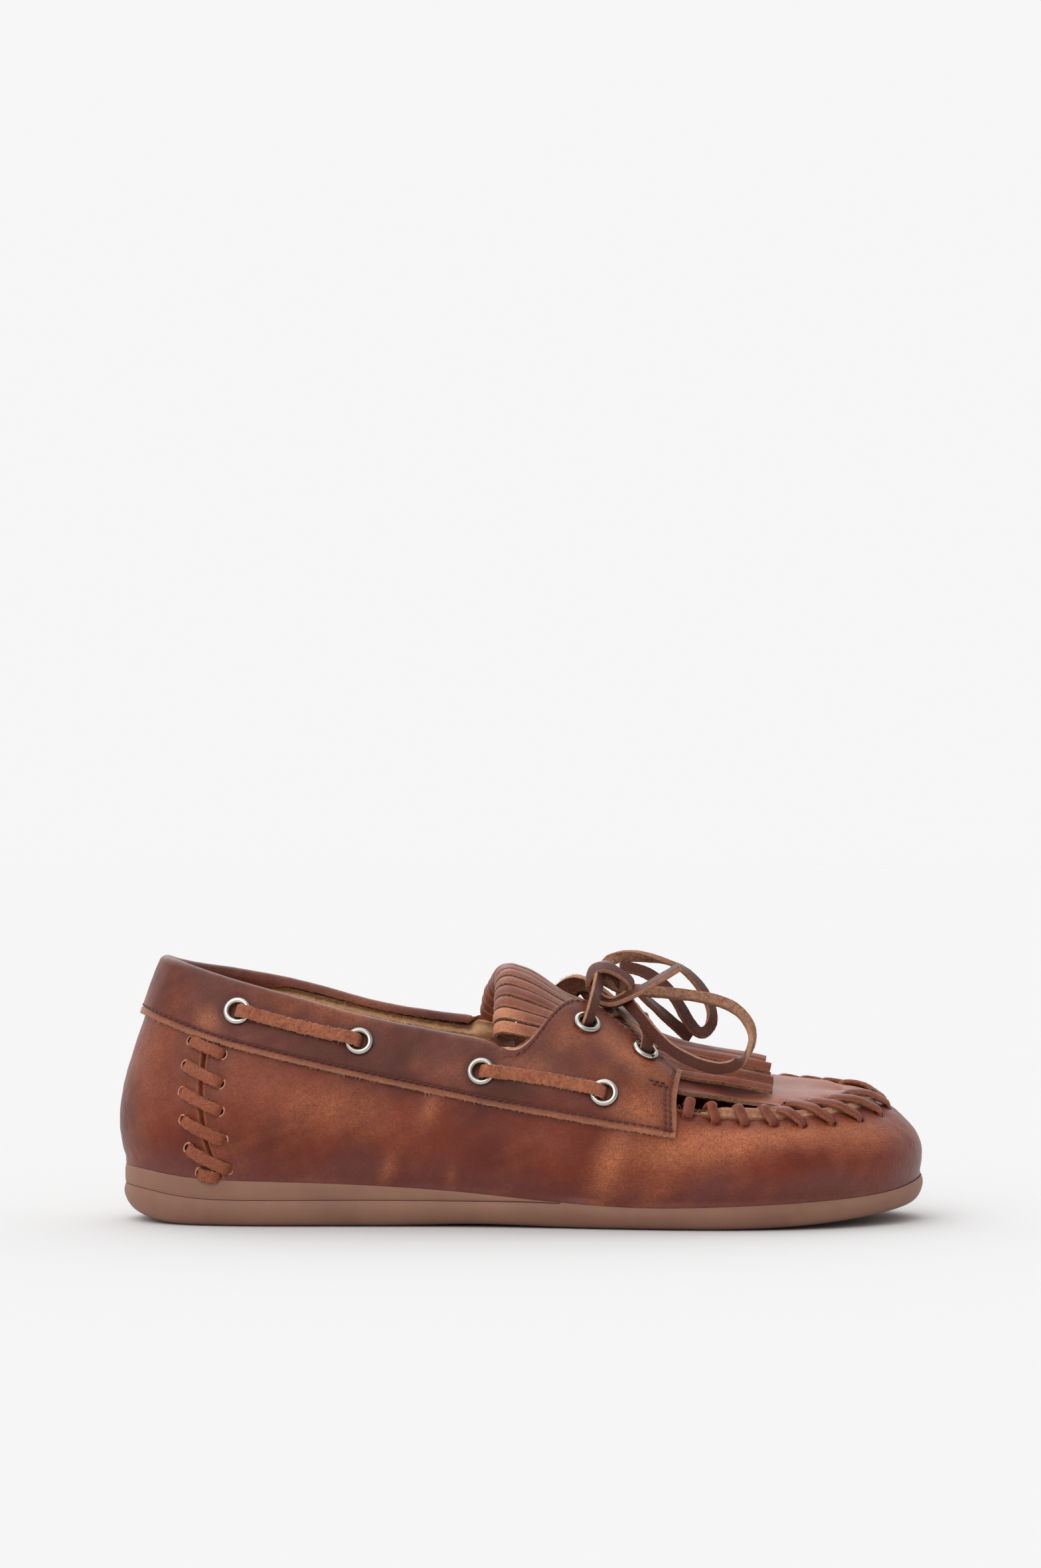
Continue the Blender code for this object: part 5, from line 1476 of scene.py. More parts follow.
# The crossing: share of the length, height number and height over the saddle.
CROSSING = (
    (0.672, 1.436, -1.2), (0.6718, 1.440, 0.2), (0.671, 1.458, 1.9), (0.670, 1.500, 2.6),
    (0.668, 1.56, 2.6), (0.664, 1.63, 2), (0.658, 1.72, 0.6), (0.650, 1.82, -0.6), (0.641, 1.91, -0.9),
    (0.632, 2.00, -0.9), (0.623, 2.09, -0.9), (0.614, 2.17, -0.9), (0.605, 2.24, -0.9),
)
CROSSED_LIFT = 0.75  # how much higher the lateral one lies where it goes over the other
# The two ties from hole to knot: distances out of the hole, each with a share of the way to the knot.
TIE_RISE = ((-1.2, 0.0), (0.8, 0.0), (2.6, 0.06), (4.0, 0.4))
TIE_END = {"lateral": (153.2, -9.0, 79.0), "medial": (153.2, 5.2, 79.5)}
LACE_ROUTES = {
    "bow_loop_lateral": (
        (161, -7.5, 71.5), (166, -17, 66), (171, -25, 60), (176, -29.5, 55.8), (183, -31.5, 52.2),
        (189, -31, 50.4), (195, -28, 50.9), (199.6, -22.5, 54.2), (201.8, -16, 59), (200.6, -11.5, 64),
        (196.5, -8.5, 68.2), (190, -7, 70.8), (182, -6, 72.2), (172, -5, 73.2), (163.5, -4.5, 74),
    ),
    "bow_loop_medial": (
        (154.8, 2.5, 79.9), (156, 3.6, 82.2), (159, 5.2, 83.9), (164, 7.2, 84.4), (171, 10, 83.4),
        (178, 13, 81.3), (184, 16, 77), (188.5, 18, 71), (190.5, 18, 65), (189.6, 16.5, 60.6),
        (187, 14.5, 59), (184, 12.5, 61), (181, 11, 65.6), (178, 9, 70.6), (174, 6.5, 75.3),
        (169, 3.5, 78.8), (164, 1, 80.6), (160, 0, 81.2),
    ),
    "lace_end_lateral": (
        (151.5, -8.5, 73), (153.5, -10.3, 71), (157, -11.6, 70.2), (161, -12.2, 71.4), (166, -12.8, 74),
        (171, -13.4, 77), (176, -14.1, 80), (178.8, -14.5, 81.8),
    ),
    "lace_end_medial": (
        (160.5, 4, 74.5), (164.5, 8.5, 73), (170, 13.5, 69), (175, 17.5, 64.5), (179.5, 20, 60.5),
        (183.5, 21.5, 57),
    ),
}
# The way that the flesh side of each stretch of the free lace faces, by share of its length.
LACE_FACING = {
    "bow_loop_lateral": (
        (0, 0.1, 0.9, 0.1), (0.15, 0, 0.9, 0.3), (0.40, 0, 0.9, 0.3), (0.50, 0.6, 0.7, 0.1),
        (0.56, 0.9, 0.1, 0.1), (0.64, 0.6, -0.7, 0.3), (0.85, 0, -0.8, 0.6), (1, 0, -0.8, 0.5),
    ),
    "bow_loop_medial": (
        (0, -0.6, -0.8, 0), (0.12, -0.2, -0.9, -0.3), (0.24, -0.1, -0.1, -0.9), (0.35, -0.4, 0.5, -0.8),
        (0.5, -0.7, 0.6, -0.3), (0.62, 0, 0.8, -0.6), (0.75, -0.5, 0.8, -0.3), (1, -0.3, 0.8, -0.5),
    ),
    "lace_end_lateral": ((0, -0.5, 0.5, -0.6), (0.3, 0.1, 0.3, -0.9), (1, 0.45, 0.35, -0.8)),
    "lace_end_medial": ((0, 0.4, 0.6, -0.6), (1, 0.5, 0.5, -0.6)),
}
# The knot's wraps, route and facing: one comes up between the ties and goes over the loops, three go
# round them, and three are its dark middle, seen under the first.
KNOT_WRAPS = (
    (((149.5, -6, 75.4), (150, -9.3, 78.4), (152.3, -10, 80.8), (156, -9.5, 81), (160, -8.6, 79.1),
      (163.3, -7, 76), (163, -4.5, 72.5)),
     ((0, -0.9, -0.3, 0.2), (0.3, -0.3, -0.5, 0.8), (0.6, 0.4, -0.5, 0.7), (1, 0.9, -0.3, 0.1))),
    (((151, -8, 77), (152, -9.8, 73), (155, -10.5, 70.5), (159, -9.5, 70.5), (162, -7.5, 72)),
     ((0, -0.6, -0.8, 0), (0.5, 0, -0.8, -0.5), (1, 0.5, -0.8, -0.2))),
    (((150.5, 3.5, 76), (151.5, 0, 80.5), (154.5, -3.5, 82.2), (158.5, -4.5, 80), (161, -3, 76.5)),
     ((0, -0.7, 0.3, 0.6), (0.5, 0, -0.2, 1), (1, 0.8, -0.4, 0.3))),
    (((152, 4, 78), (156.5, 6, 76), (160.5, 4.5, 74), (162, 1, 73.5)),
     ((0, -0.3, 0.9, 0.2), (1, 0.5, 0.7, 0))),
    (((152.5, -5, 73), (152.8, -5.8, 77), (155, -6, 79.6), (158, -5.5, 78.5), (160.5, -4.5, 75),
      (161.5, -3, 72)),
     ((0, -0.2, -0.9, -0.1), (0.5, 0, -0.95, 0.3), (1, 0.2, -0.9, 0))),
    (((151.5, -3, 78.8), (155.5, -4.2, 77.2), (159.5, -4.8, 75.2), (162.8, -4.5, 73.8)),
     ((0, 0, 0.9, 0.2), (1, 0, 0.95, 0.2))),
    (((153, -7.5, 72), (156.5, -4, 69.6), (160, 0, 70.5), (160.5, 3.5, 73)),
     ((0, 0, -0.4, -0.9), (1, 0.6, 0.3, -0.6))),
)


def faced(points, rows):
    """Facing vectors along points, from rows of share of the length and a vector."""
    rows, distance = np.array(rows), run_of(points)
    return unit(sampled(distance / distance[-1], rows[:, 0], rows[:, 1:]))


def make_free_lace():
    """The bow's loops and cut ends: flat thongs along given routes, each turned by its facing."""
    made = []
    width = millimetres("lace_width")
    for order, (name, route) in enumerate(LACE_ROUTES.items()):
        points = smooth_route(route, 0.7)
        facing = faced(points, LACE_FACING[name])
        shell = thong_shell(points, facing, width, FREE_THICKNESS, 100 + order, grain_out=False)
        piece = thong_piece(name + "_thong", [shell], "thong_leather", (name,))
        made.append(piece)
    return made


def make_knot():
    """The knot: short thong wraps drawn tight round its middle."""
    shells, width = [], millimetres("lace_width")
    for order, (route, facing) in enumerate(KNOT_WRAPS):
        points = smooth_route(route, 0.6)
        shells.append(thong_shell(points, faced(points, facing), width, FREE_THICKNESS, 120 + order))
    return thong_piece("knot_wraps", shells, "thong_leather", ("lace_knot",))


def planar_thong(points, normal, width, thickness, seed, ragged, rounded=False):
    """A thong whose across direction stays square to its chord and to a normal, however it bends."""
    across = unit(np.cross(normal, points[-1] - points[0]))
    facing = np.cross(unit(np.gradient(points, axis=0)), across)
    return thong_shell(points, facing, width, thickness, seed, flare=0.035 + 0.3 * ragged, ragged=ragged,
                       rounded=rounded)


def bar_lines():
    """Each bar's name, its middle line from eyelet to eyelet, and the way its face looks."""
    places = {name: (share, height) for name, share, height, _ in EYELETS}
    way, level = np.array(BAR_EXIT).T
    levels = np.concatenate([level, (BAR_MIDDLE,), level[::-1]])
    rows = []
    for side, sign in SIDES:
        for name, first, second in BARS:
            start, end = np.array(places[first]), np.array(places[second])
            ends = on_last(sign, (start[0], end[0]), (start[1], end[1]), 2.0)
            length = float(np.linalg.norm(ends[1] - ends[0]))
            part = np.concatenate([way, (length / 2,), length - way[::-1]]) / length
            share, height = (start + (end - start) * part[:, None]).T
            angle = sign * angle_of(share)
            points = smooth_route(offset_last(angle, height, GAP + SADDLE_WALL + levels), 0.5)
            rows.append((f"{side}_{name}", points, outward(angle, height).mean(0)))
    return rows


def make_side_bars():
    """The four bars outside the collar, flesh side out, each from one eyelet into the next."""
    made = []
    width = millimetres("bar_width")
    for order, (name, points, normal) in enumerate(bar_lines()):
        shell = planar_thong(points, normal, width, THONG_THICKNESS, 130 + order % 2, BAR_RAGGED)
        made.append(thong_piece("bar_" + name, [shell], "thong_flesh_out", ("lace_" + name,)))
    return made


def crossing_shell(angle, height, level, seed):
    """A thong over the leather: it faces along the normal, tilted back where it leaves its eyelet."""
    points = offset_last(angle, height, GAP + SADDLE_WALL + level)
    fine = smooth_route(points, 0.6)
    place, distance = run_of(points), run_of(fine)
    normals = unit(sampled(distance / distance[-1], place / place[-1], outward(angle, height)))
    along = unit(np.gradient(fine, axis=0))
    tilt = np.interp(distance, *EXIT_TILT)[:, None]
    facing = normals * (1 - tilt) - along * tilt
    facing = facing - along * (facing * along).sum(-1, keepdims=True)
    weak = np.linalg.norm(facing, axis=-1) < 0.2
    facing[weak] = (normals - unit(fine[-1] - fine[0]) * 0.9)[weak]
    return thong_shell(fine, facing, millimetres("thong_width"), THONG_THICKNESS, seed)


def make_throat_lace():
    """The two thongs that cross over the kiltie and the two that rise from the throat to the knot."""
    crossings = []
    share, height, level = np.array(CROSSING).T
    for _, sign in SIDES:
        angle = sign * angle_of(share)
        lift = tab_lift(angle[:1], height[:1]) * np.interp(height, (1.5, 1.8), (1, 0))
        over = CROSSED_LIFT * fade(height, 1.75, 1.9) if sign > 0 else 0.0
        crossings.append(crossing_shell(angle, height, level + lift + over, 140 + sign))
    made = [thong_piece("crossing_thongs", crossings, "thong_leather", ("lace_crossing",))]
    for side, sign in SIDES:
        hole, out = EYELET_PLACES[side, "throat_upper"]
        end = np.array(TIE_END[side])
        rise = end - hole
        across = np.cross(rise, out)
        points = smooth_route([hole + out * away + rise * part for away, part in TIE_RISE] + [end], 0.6)
        facing = 0.5 * across - np.cross(np.gradient(points, axis=0), across)
        shell = thong_shell(points, facing, millimetres("thong_width"), THONG_THICKNESS, 145 + sign)
        made.append(thong_piece(f"tie_{side}", [shell], "thong_leather", (f"lace_tie_{side}",)))
    return made


# ---------- Stitches and fibres ----------

# Height of a whip-stitch over the leather by share of its length: at the heel, over the seam's two
# leathers, and over the vamp's edge alone.
WRAP_LEVEL = ((0, -1.4), (0.05, 0.3), (0.22, 1.15), (0.5, 1.3), (0.78, 1.15), (0.95, 0.3), (1, -1.4))
SEAM_LEVEL = (
    (0, -1.4), (0.05, 0.2), (0.2, 1), (0.42, 1.8), (0.6, 1.7), (0.8, 1.1), (0.95, 0.2), (1, -1.4),
)
EDGE_LEVEL = (
    (0, -1.6), (0.06, 0.1), (0.22, 0.6), (0.42, 1), (0.6, 1.7), (0.74, 2), (0.86, 1.2), (1, -1.9),
)
# How a stitch's paint is scaled and raised to be worn and rubbed like the upper.
SEAM_TONE = ((0.3, 0.3, 0.6), (0.15, 0.0, 0.1))
HEEL_TONE = ((-0.1, 0.5, 0.3), (0.5, 0.0, 0.1))
STITCH_CREASE = 0.5
# The slits under the whip-stitches: stitches, their ends with a slit, the lip's slot and how deep it sits.
SLITS = ((SEAM_STITCHES, (0,), 2, 0.65), (SEAM_STITCHES[FREE_STITCHES:], (1,), 2, 0.65),
         (HEEL_STITCHES, (0, 1), 0, 0.40))
SLIT_SIDES = 14
# Rings of a slit from its dark middle, a disc of painted shade, out: size and height.
SLIT_RINGS = ((0.0, 0.10), (0.55, 0.10), (0.8, 0.16), (1.0, 0.32), (1.22, 0.22), (1.42, -0.25))


def whip_line(sign, pair, levels, settle=None):
    """A stitch's middle line from hole to hole, raised by rows of (share, level), and its facing."""
    part, level = np.array(levels).T
    start, end = np.array(pair)
    share, height = (start + (end - start) * part[:, None]).T
    angle = sign * angle_of(np.clip(share, 0, 0.99999))
    if settle is not None:
        level = level - settle(share, height)
    return smooth_route(offset_last(angle, height, level), 0.5), outward(angle, height).mean(0)


def apron_settle(share, height):
    """How far the leather under a stitch lies below the last, past the vamp's edge."""
    return (apron_drop(share) + 0.35) * fade(height, 1.0, 1.1)


def stitch_shell(line, normal, width, seed, tone, ragged, rounded=False):
    """A whip-stitch's shell, with its own paint turned into the upper's."""
    points, faces, paint, flow = planar_thong(line, normal, width, STITCH_THICKNESS, seed, ragged, rounded)
    scale, least = tone
    paint = np.concatenate([paint[:, :3] * scale + least, np.full((len(paint), 1), STITCH_CREASE)], 1)
    return points, faces, paint, flow


def make_whip_stitches():
    """The hand-sewn thong stitches of the apron seam and of the heel, each its own arch, both sides."""
    seam, heel = [], []
    seam_width, heel_width = millimetres("seam_width"), millimetres("heel_width")
    for _, sign in SIDES:
        for order, pair in enumerate(SEAM_STITCHES):
            free = order < FREE_STITCHES
            line, normal = whip_line(sign, pair, *((EDGE_LEVEL,) if free else (SEAM_LEVEL, apron_settle)))
            width = seam_width * (0.88 if free else 1.0)
            seam.append(stitch_shell(line, normal, width, 200 + order * 2 + sign, SEAM_TONE, 0.06, True))
        for order, pair in enumerate(HEEL_STITCHES):
            line, normal = whip_line(sign, pair, WRAP_LEVEL)
            heel.append(stitch_shell(line, normal, heel_width, 240 + order * 2 + sign, HEEL_TONE, 0.12))
    return [thong_piece("seam_stitches", seam, "pull_up_leather"),
            thong_piece("heel_stitches", heel, "pull_up_leather")]


def saddle_line(side_angles, rise, level=0.0):
    """A line on the saddle's outer face and its normals."""
    angle, height = saddle_place(side_angles, rise)
    relief = body_relief(last(angle, height)) + tab_lift(angle, height)
    return offset_last(angle, height, GAP + SADDLE_WALL + relief + level), outward(angle, height)


def along_edge(side_angles, distance, upper=False):
    """Rise of a line at a distance from the saddle's lower or upper edge: its share of the band's girth."""
    angle, low = saddle_place(side_angles, 0.0)
    _, top = saddle_place(side_angles, 1.0)
    share = distance / (girth(angle, top if upper else low) * (top - low))
    return 1 - share if upper else share


def make_machine_stitches():
    """Thread stitches: the saddle's lower row, its double front rows, its tabs' edges and its bar tacks."""
    whole = np.linspace(0.035 - SADDLE_END, SADDLE_END - 0.035, 1500)
    lower = saddle_line(whole, along_edge(whole, LOWER_ROW), -0.28)
    groups = [stitch_line(*lower, *THREAD_STITCH["lower"])]
    for _, sign in SIDES:
        for back, top_rise in zip(FRONT_ROWS, (0.93, TACK_RISE)):
            angles = sign * angle_of(np.full(300, SADDLE_FRONT - back / LENGTH))
            front = saddle_line(angles, np.linspace(0.045, top_rise, 300), -0.22)
            groups.append(stitch_line(*front, *THREAD_STITCH["front"], turn=0.25))
        top = sign * angle_of(np.linspace(0.488, 0.668, 600))
        tab = saddle_line(top, along_edge(top, TAB_ROW, True), -0.2)
        groups.append(stitch_line(*tab, *THREAD_STITCH["tab"], turn=0.35 * sign))
        for up, back in ((0.0, 0.0), TACK_SHIFT):
            angle = sign * angle_of(np.linspace(*TACK_SHARES, 60) - back)
            height = np.linspace(*TACK_HEIGHTS, 60) + up
            tack = offset_last(angle, height, GAP + SADDLE_WALL)
            groups.append(stitch_line(tack, outward(angle, height), *THREAD_STITCH["tack"]))
    points, faces, flow = join_shells(groups)
    return new_piece("machine_stitches", points, faces, ["waxed_thread"], flow=flow, sharp=180, weld=0)


def slit_shell(point, out, along, wide, long):
    """The rings and faces of a slit with a raised lip: ellipses from inside the leather up over its rim."""
    turn = np.arange(SLIT_SIDES)[:, None] * TURN / SLIT_SIDES
    ellipse = np.cos(turn) * along * long + np.sin(turn) * np.cross(out, along) * wide
    rings = [point + ellipse * size + out * up for size, up in SLIT_RINGS]
    outermost = (len(rings) - 1) * SLIT_SIDES + np.arange(SLIT_SIDES)[::-1]
    return np.concatenate(rings), [*ring_faces(len(rings), SLIT_SIDES).tolist(), outermost.tolist()]


def make_holes():
    """The slits that the whip-stitches go through, each a dark disc of painted shade inside a light raised
    lip.
    """
    shells, dark = [], 2 * SLIT_SIDES
    for _, sign in SIDES:
        for stitches, ends, lip, sunk in SLITS:
            for pair in stitches:
                shares, heights = np.array(pair).T
                chord = on_last(sign, shares, heights)
                outs = outward(sign * angle_of(shares), heights)
                for end in ends:
                    way = unit(chord[1] - chord[0]) * (1 if end else -1)
                    along = unit(way - outs[end] * (way @ outs[end]))
                    root = chord[end] - outs[end] * sunk + along * 0.35
                    points, faces = slit_shell(root, outs[end], along, 1.5, 1.0)
                    shells.append((points, faces, [1] * dark + [lip] * (len(faces) - dark)))
    points, faces, slots = join_shells(shells)
    finishes = ["cut_edge", "hole_shade", "pull_up_leather"]
    return new_piece("stitch_holes", points, faces, finishes, slots, sharp=60)


# Loose fibres of each edge, and of each line of nap: how many, their length and their thickness.
FRAY = {"saddle": (5200, 0.48, 0.085), "tab": (600, 0.3, 0.06), "vamp": (1500, 0.26, 0.045),
        "tongue": (900, 0.24, 0.035), "lining": (2000, 0.55, 0.16)}
NAP_DEPTHS = (3.2, 4.6, 6.0)  # of the lines of nap, below the edge line


def fibre_piece(name, groups, finish_name):
    """Groups of fibres as one piece."""
    return new_piece(name, *join_shells(groups), [finish_name], sharp=180, weld=0)


def thong_fringe(line, normal, width, count, long, seed):
    """Loose fibres along both cut sides of a flat thong."""
    across = unit(np.cross(normal, line[-1] - line[0]))
    normals = np.broadcast_to(normal, line.shape)
    made = []
    for way in (-1, 1):
        out = np.broadcast_to(across * way, line.shape)
        made.append(fibres(line + out * (width / 2 - 0.1), out, normals, count, long, 0.06, seed + way, 0.9))
    return made


def make_edge_fibres():
    """Loose fibres on the cut edges: the saddle's, the vamp's along the seam, and the tongue's."""
    side_angles = np.linspace(-SADDLE_END, SADDLE_END, 2400)
    line, normals = saddle_line(side_angles, 0.0, -0.5)
    down = unit(line - saddle_line(side_angles, 0.03)[0])
    groups = [fibres(line, unit(down + 0.25 * normals), normals, *FRAY["saddle"], 301, 0.8)]
    for _, sign in SIDES:
        top = sign * angle_of(np.linspace(0.49, 0.684, 500))
        line, normals = saddle_line(top, 1.0, -0.7)
        up = unit(line - saddle_line(top, 0.97)[0])
        groups.append(fibres(line, up, normals, *FRAY["tab"], 302 + sign, 0.8))
        share = np.linspace(0.70, 0.90, 500)
        angle = sign * angle_of(share)
        out = outward(angle, 1.0)
        line = offset_last(angle, 1.02, raw_edge_rise(share) * 0.5 - 1.0)
        up = unit(last(angle, 1.1) - last(angle, 0.95))
        groups.append(fibres(line, unit(out - 0.6 * up), out * 2.0, *FRAY["vamp"], 305 + sign, 0.8))
        share = np.linspace(0.70, 0.88, 500)
        angle, height = sign * angle_of(share), through(APRON_SIDE, share)
        line = offset_last(angle, height, -apron_drop(share) - 0.9)
        way = unit(last(angle, height - 0.05) - last(angle, height + 0.05))
        groups.append(fibres(line, way, outward(angle, height) * 1.2, *FRAY["tongue"], 308 + sign))
    return fibre_piece("edge_fibres", groups, "loose_fibre")


def make_thong_fibres():
    """Loose fibres along the cut sides of the side bars and the heel stitches."""
    groups, width = [], millimetres("heel_width")
    for _, sign in SIDES:
        for order, pair in enumerate(HEEL_STITCHES):
            line, normal = whip_line(sign, pair, WRAP_LEVEL)
            groups += thong_fringe(line[4:-4], normal, width, 60, 0.42, 330 + order * 2 + sign)
    for order, (_, line, normal) in enumerate(bar_lines()):
        groups += thong_fringe(line[8:-8], normal, millimetres("bar_width"), 260, 0.5, 360 + order)
    return fibre_piece("thong_fibres", groups, "loose_fibre")


def make_lining_fibres():
    """The nap of the padded lining where it shows under the rolled collar."""
    groups = []
    share = np.linspace(0.10, 0.50, 500)
    for _, sign in SIDES:
        for depth in NAP_DEPTHS:
            angle = sign * angle_of(share)
            height = 1 - depth / girth(angle, 1.0)
            line = offset_last(angle, height, -UPPER_WALL - collar_pad(share, depth - UPPER_DROP))
            out = outward(angle, height)
            up = unit(last(angle, height + 0.02) - last(angle, height - 0.02))
            groups.append(fibres(line, unit(0.3 * up - out), up * 2.0, *FRAY["lining"], 315 + sign, 0.8))
    return fibre_piece("lining_fibres", groups, "flesh_lining")


# ---------- Stage ----------


CAMERA_PLACE = (-0.0004, -1.3923, 0.1342)
CAMERA_TURN = math.radians(90.247)  # from looking straight down to looking ahead
CAMERA_LENS = 98.98
SENSOR = 36.0
CLIP = (0.01, 100.0)
FLOOR_HALF = 8.0
HORIZON = 0.922  # brightness of the backdrop
FRONT_SHADE = 0.50  # brightness of the studio's near side against the backdrop's
FRONT_SPAN = (-0.45, 0.1)  # between which ways, near to far, one becomes the other
CEILING_FALL = (0.30, 0.70, 0.5)  # from and to what height the backdrop dims, and by how much
# Soft lights in the sky: direction, sharpness, strength, and the heights between which each fades in.
SKY_LIGHTS = (
    ((-0.40, -0.72, 0.56), 8.0, 2.5, 0.06, 0.36),
    ((-0.10, 0.10, 1.0), 4.0, 1.1, 0.10, 0.40),
    ((-0.20, 0.80, 0.60), 8.0, 1.8, 0.19, 0.45),
)


def make_camera():
    """A long lens a little above the floor, level but for a quarter of a degree."""
    data = bpy.data.cameras.new("camera")
    data.lens = CAMERA_LENS
    data.sensor_width = data.sensor_height = SENSOR
    data.clip_start, data.clip_end = CLIP
    camera = new_object("camera", data)
    camera.location = CAMERA_PLACE
    camera.rotation_euler = (CAMERA_TURN, 0, 0)
    bpy.context.scene.camera = camera
    return camera


def make_sky():
    """A pale studio all round, dimmer overhead, with soft lights.

    Each light adds the cosine between its direction and the view's, to a power.
    """
    world = bpy.data.worlds.new("studio")
    bpy.context.scene.world = world
    world.use_nodes = True
    sheet = NodeSheet(world.node_tree)
    way = sheet.node("ShaderNodeTexCoord").outputs["Generated"]
    way = sheet.node("ShaderNodeVectorMath", {0: way}, operation="NORMALIZE").outputs[0]
    _, ahead, up = sheet.node("ShaderNodeSeparateXYZ", {0: way}).outputs
    dim = HORIZON * FRONT_SHADE
    total = sheet.scaled(sheet.band(ahead, *FRONT_SPAN), HORIZON - dim, dim)
    low, high, fall = CEILING_FALL
    total = sheet.times(total, sheet.scaled(sheet.band(up, low, high), -fall, 1.0))
    for direction, power, strength, low, high in SKY_LIGHTS:
        inputs = {0: way, 1: tuple(unit(np.array(direction)))}
        facing = sheet.node("ShaderNodeVectorMath", inputs, operation="DOT_PRODUCT").outputs["Value"]
        lobe = sheet.math("POWER", sheet.math("MAXIMUM", facing, 0.0), power)
        lobe = sheet.times(lobe, sheet.band(up, low, high))
        total = sheet.scaled(lobe, strength, total)
    sheet.feed(world.node_tree.nodes["Background"].inputs["Color"], sheet.grey(total))
    bpy.context.scene.view_settings.view_transform = "Standard"
    return world


def make_floor():
    """A plain pale floor, as bright as the backdrop."""
    corners = np.array([(-1, -1, 0), (1, -1, 0), (1, 1, 0), (-1, 1, 0)]) * FLOOR_HALF
    mesh = bpy.data.meshes.new("floor")
    mesh.from_pydata(corners.tolist(), [], [(0, 1, 2, 3)])
    floor = new_object("floor", mesh)
    material, _, shader = new_material("pale_floor", {"Roughness": 1.0, "Specular IOR Level": 0.0})
    shader.inputs["Base Color"].default_value = (*colours().floor, 1.0)
    mesh.materials.append(material)
    return floor


# ---------- Add-on ----------


def colour(name, description, value):
    """A colour property from its red, green and blue, 0 to 255."""
    return FloatVectorProperty(name=name, description=description, default=linear(*value), size=3,
                               subtype="COLOR", min=0.0, max=1.0)


def length(name, description, millimetres):
    """A length property."""
    return FloatProperty(name=name, description=description, default=millimetres * MM, min=0.0, soft_max=0.01,
                         precision=5, unit="LENGTH", subtype="DISTANCE")


class LoaferColours(bpy.types.PropertyGroup):
    """The loafer's colours."""

    deep: colour("Leather, deep", "Darkest tone of the upper leather", (82, 29, 17))
    body: colour("Leather", "Main tone of the upper leather", (115, 45, 25))
    # Plum, next, is also laid low on the upper and on the tongue as a painted reflection, and gold, after it,
    # as a painted highlight on some of the folds' ridges, on the apron and on the kiltie's roll.
    plum: colour("Leather, low", "Unworn tone low on the upper", (106, 56, 48))
    gold: colour("Leather, worn", "Tone where the leather has been bent", (192, 114, 74))
    rubbed: colour("Leather, edges", "Tone of rubbed edges", (194, 134, 96))
    flesh: colour("Lining, light", "Light tone of the suede lining", (255, 208, 154))
    flesh_dark: colour("Lining, dark", "Dark tone of the suede lining", (230, 164, 112))
    edge_light: colour("Cut edge, light", "Light fibres on cut edges", (228, 170, 130))
    edge_dark: colour("Cut edge, dark", "Dark fibres on cut edges", (150, 92, 68))
    thong: colour("Thong", "Smooth side of the lace", (78, 33, 26))
    thong_deep: colour("Thong, deep", "Darkest tone of the lace", (56, 23, 18))
    thong_rubbed: colour("Thong, rubbed", "Rubbed tone of the lace", (150, 96, 76))
    thong_flesh: colour("Thong flesh, light", "Light tone of the lace's rough side", (188, 138, 110))
    thong_flesh_dark: colour("Thong flesh, dark", "Dark tone of the lace's rough side", (98, 58, 44))
    thong_edge: colour("Thong edge", "Cut sides of the lace", (198, 146, 116))
    bar: colour("Bar", "Main tone of the side bars", (184, 108, 72))
    bar_dark: colour("Bar, dark", "Dark marks on the side bars", (112, 56, 38))
    thread: colour("Thread", "Machine stitches", (108, 56, 43))
    thread_dark: colour("Thread, dark", "Shaded strands of the machine stitches", (68, 34, 26))
    metal: colour("Eyelets", "Nickel", (200, 197, 190))
    metal_shade: colour("Eyelets, shade", "Duller nickel", (172, 169, 161))
    rubber: colour("Sole", "Main tone of the sole", (146, 104, 84))
    rubber_shade: colour("Sole, shade", "Second tone of the sole", (132, 92, 74))
    rubber_dust: colour("Sole, dust", "Dust on the sole", (170, 132, 110))
    floor: colour("Floor", "Pale studio floor", (219, 219, 219))


class LoaferSizes(bpy.types.PropertyGroup):
    """Sizes that leave the shoe's own shape as it is."""

    thong_width: length("Tie width", "Width of the thongs that cross and rise to the knot", 4.0)
    lace_width: length("Bow width", "Width of the bow's loops and ends", 3.8)
    bar_width: length("Bar width", "Width of the side bars", 3.9)
    seam_width: length("Seam stitch width", "Width of the apron seam's stitches", 3.7)
    heel_width: length("Heel stitch width", "Width of the heel's stitches", 3.6)
    hole_radius: length("Hole radius", "Radius of the holes under the eyelets", 3.5)
    thread: FloatProperty(name="Thread", description="Thickness of the machine thread against the usual",
                          default=1.0, min=0.3, max=2.0, subtype="FACTOR")
    fibres: FloatProperty(name="Fibres", description="Length of loose fibres against the usual",
                          default=1.0, min=0.0, max=3.0, subtype="FACTOR")


class PieceOperator:
    """What the loafer's operators share."""

    bl_options = {"REGISTER", "UNDO"}


def done(*made):
    """An operator's answer when each of its pieces was made; a missing one is an error."""
    if not made or None in made:
        raise RuntimeError("a piece was not made")
    return {"FINISHED"}


class LOAFER_OT_stage(PieceOperator, bpy.types.Operator):
    """Set up the camera, the studio and the floor"""

    bl_idname = "loafer.stage"
    bl_label = "Stage"

    def execute(self, context):
        return done(make_camera(), make_sky(), make_floor())


class LOAFER_OT_free_lace(PieceOperator, bpy.types.Operator):
    """Lay the bow's loops and ends and tie the knot"""

    bl_idname = "loafer.free_lace"
    bl_label = "Free Lace"

    def execute(self, context):
        return done(*make_free_lace(), make_knot())


class LOAFER_OT_sole(PieceOperator, bpy.types.Operator):
    """Build the outsole, wedge and insole"""

    bl_idname = "loafer.sole"
    bl_label = "Sole"

    def execute(self, context):
        return done(make_outsole(), make_wedge(), make_insole())


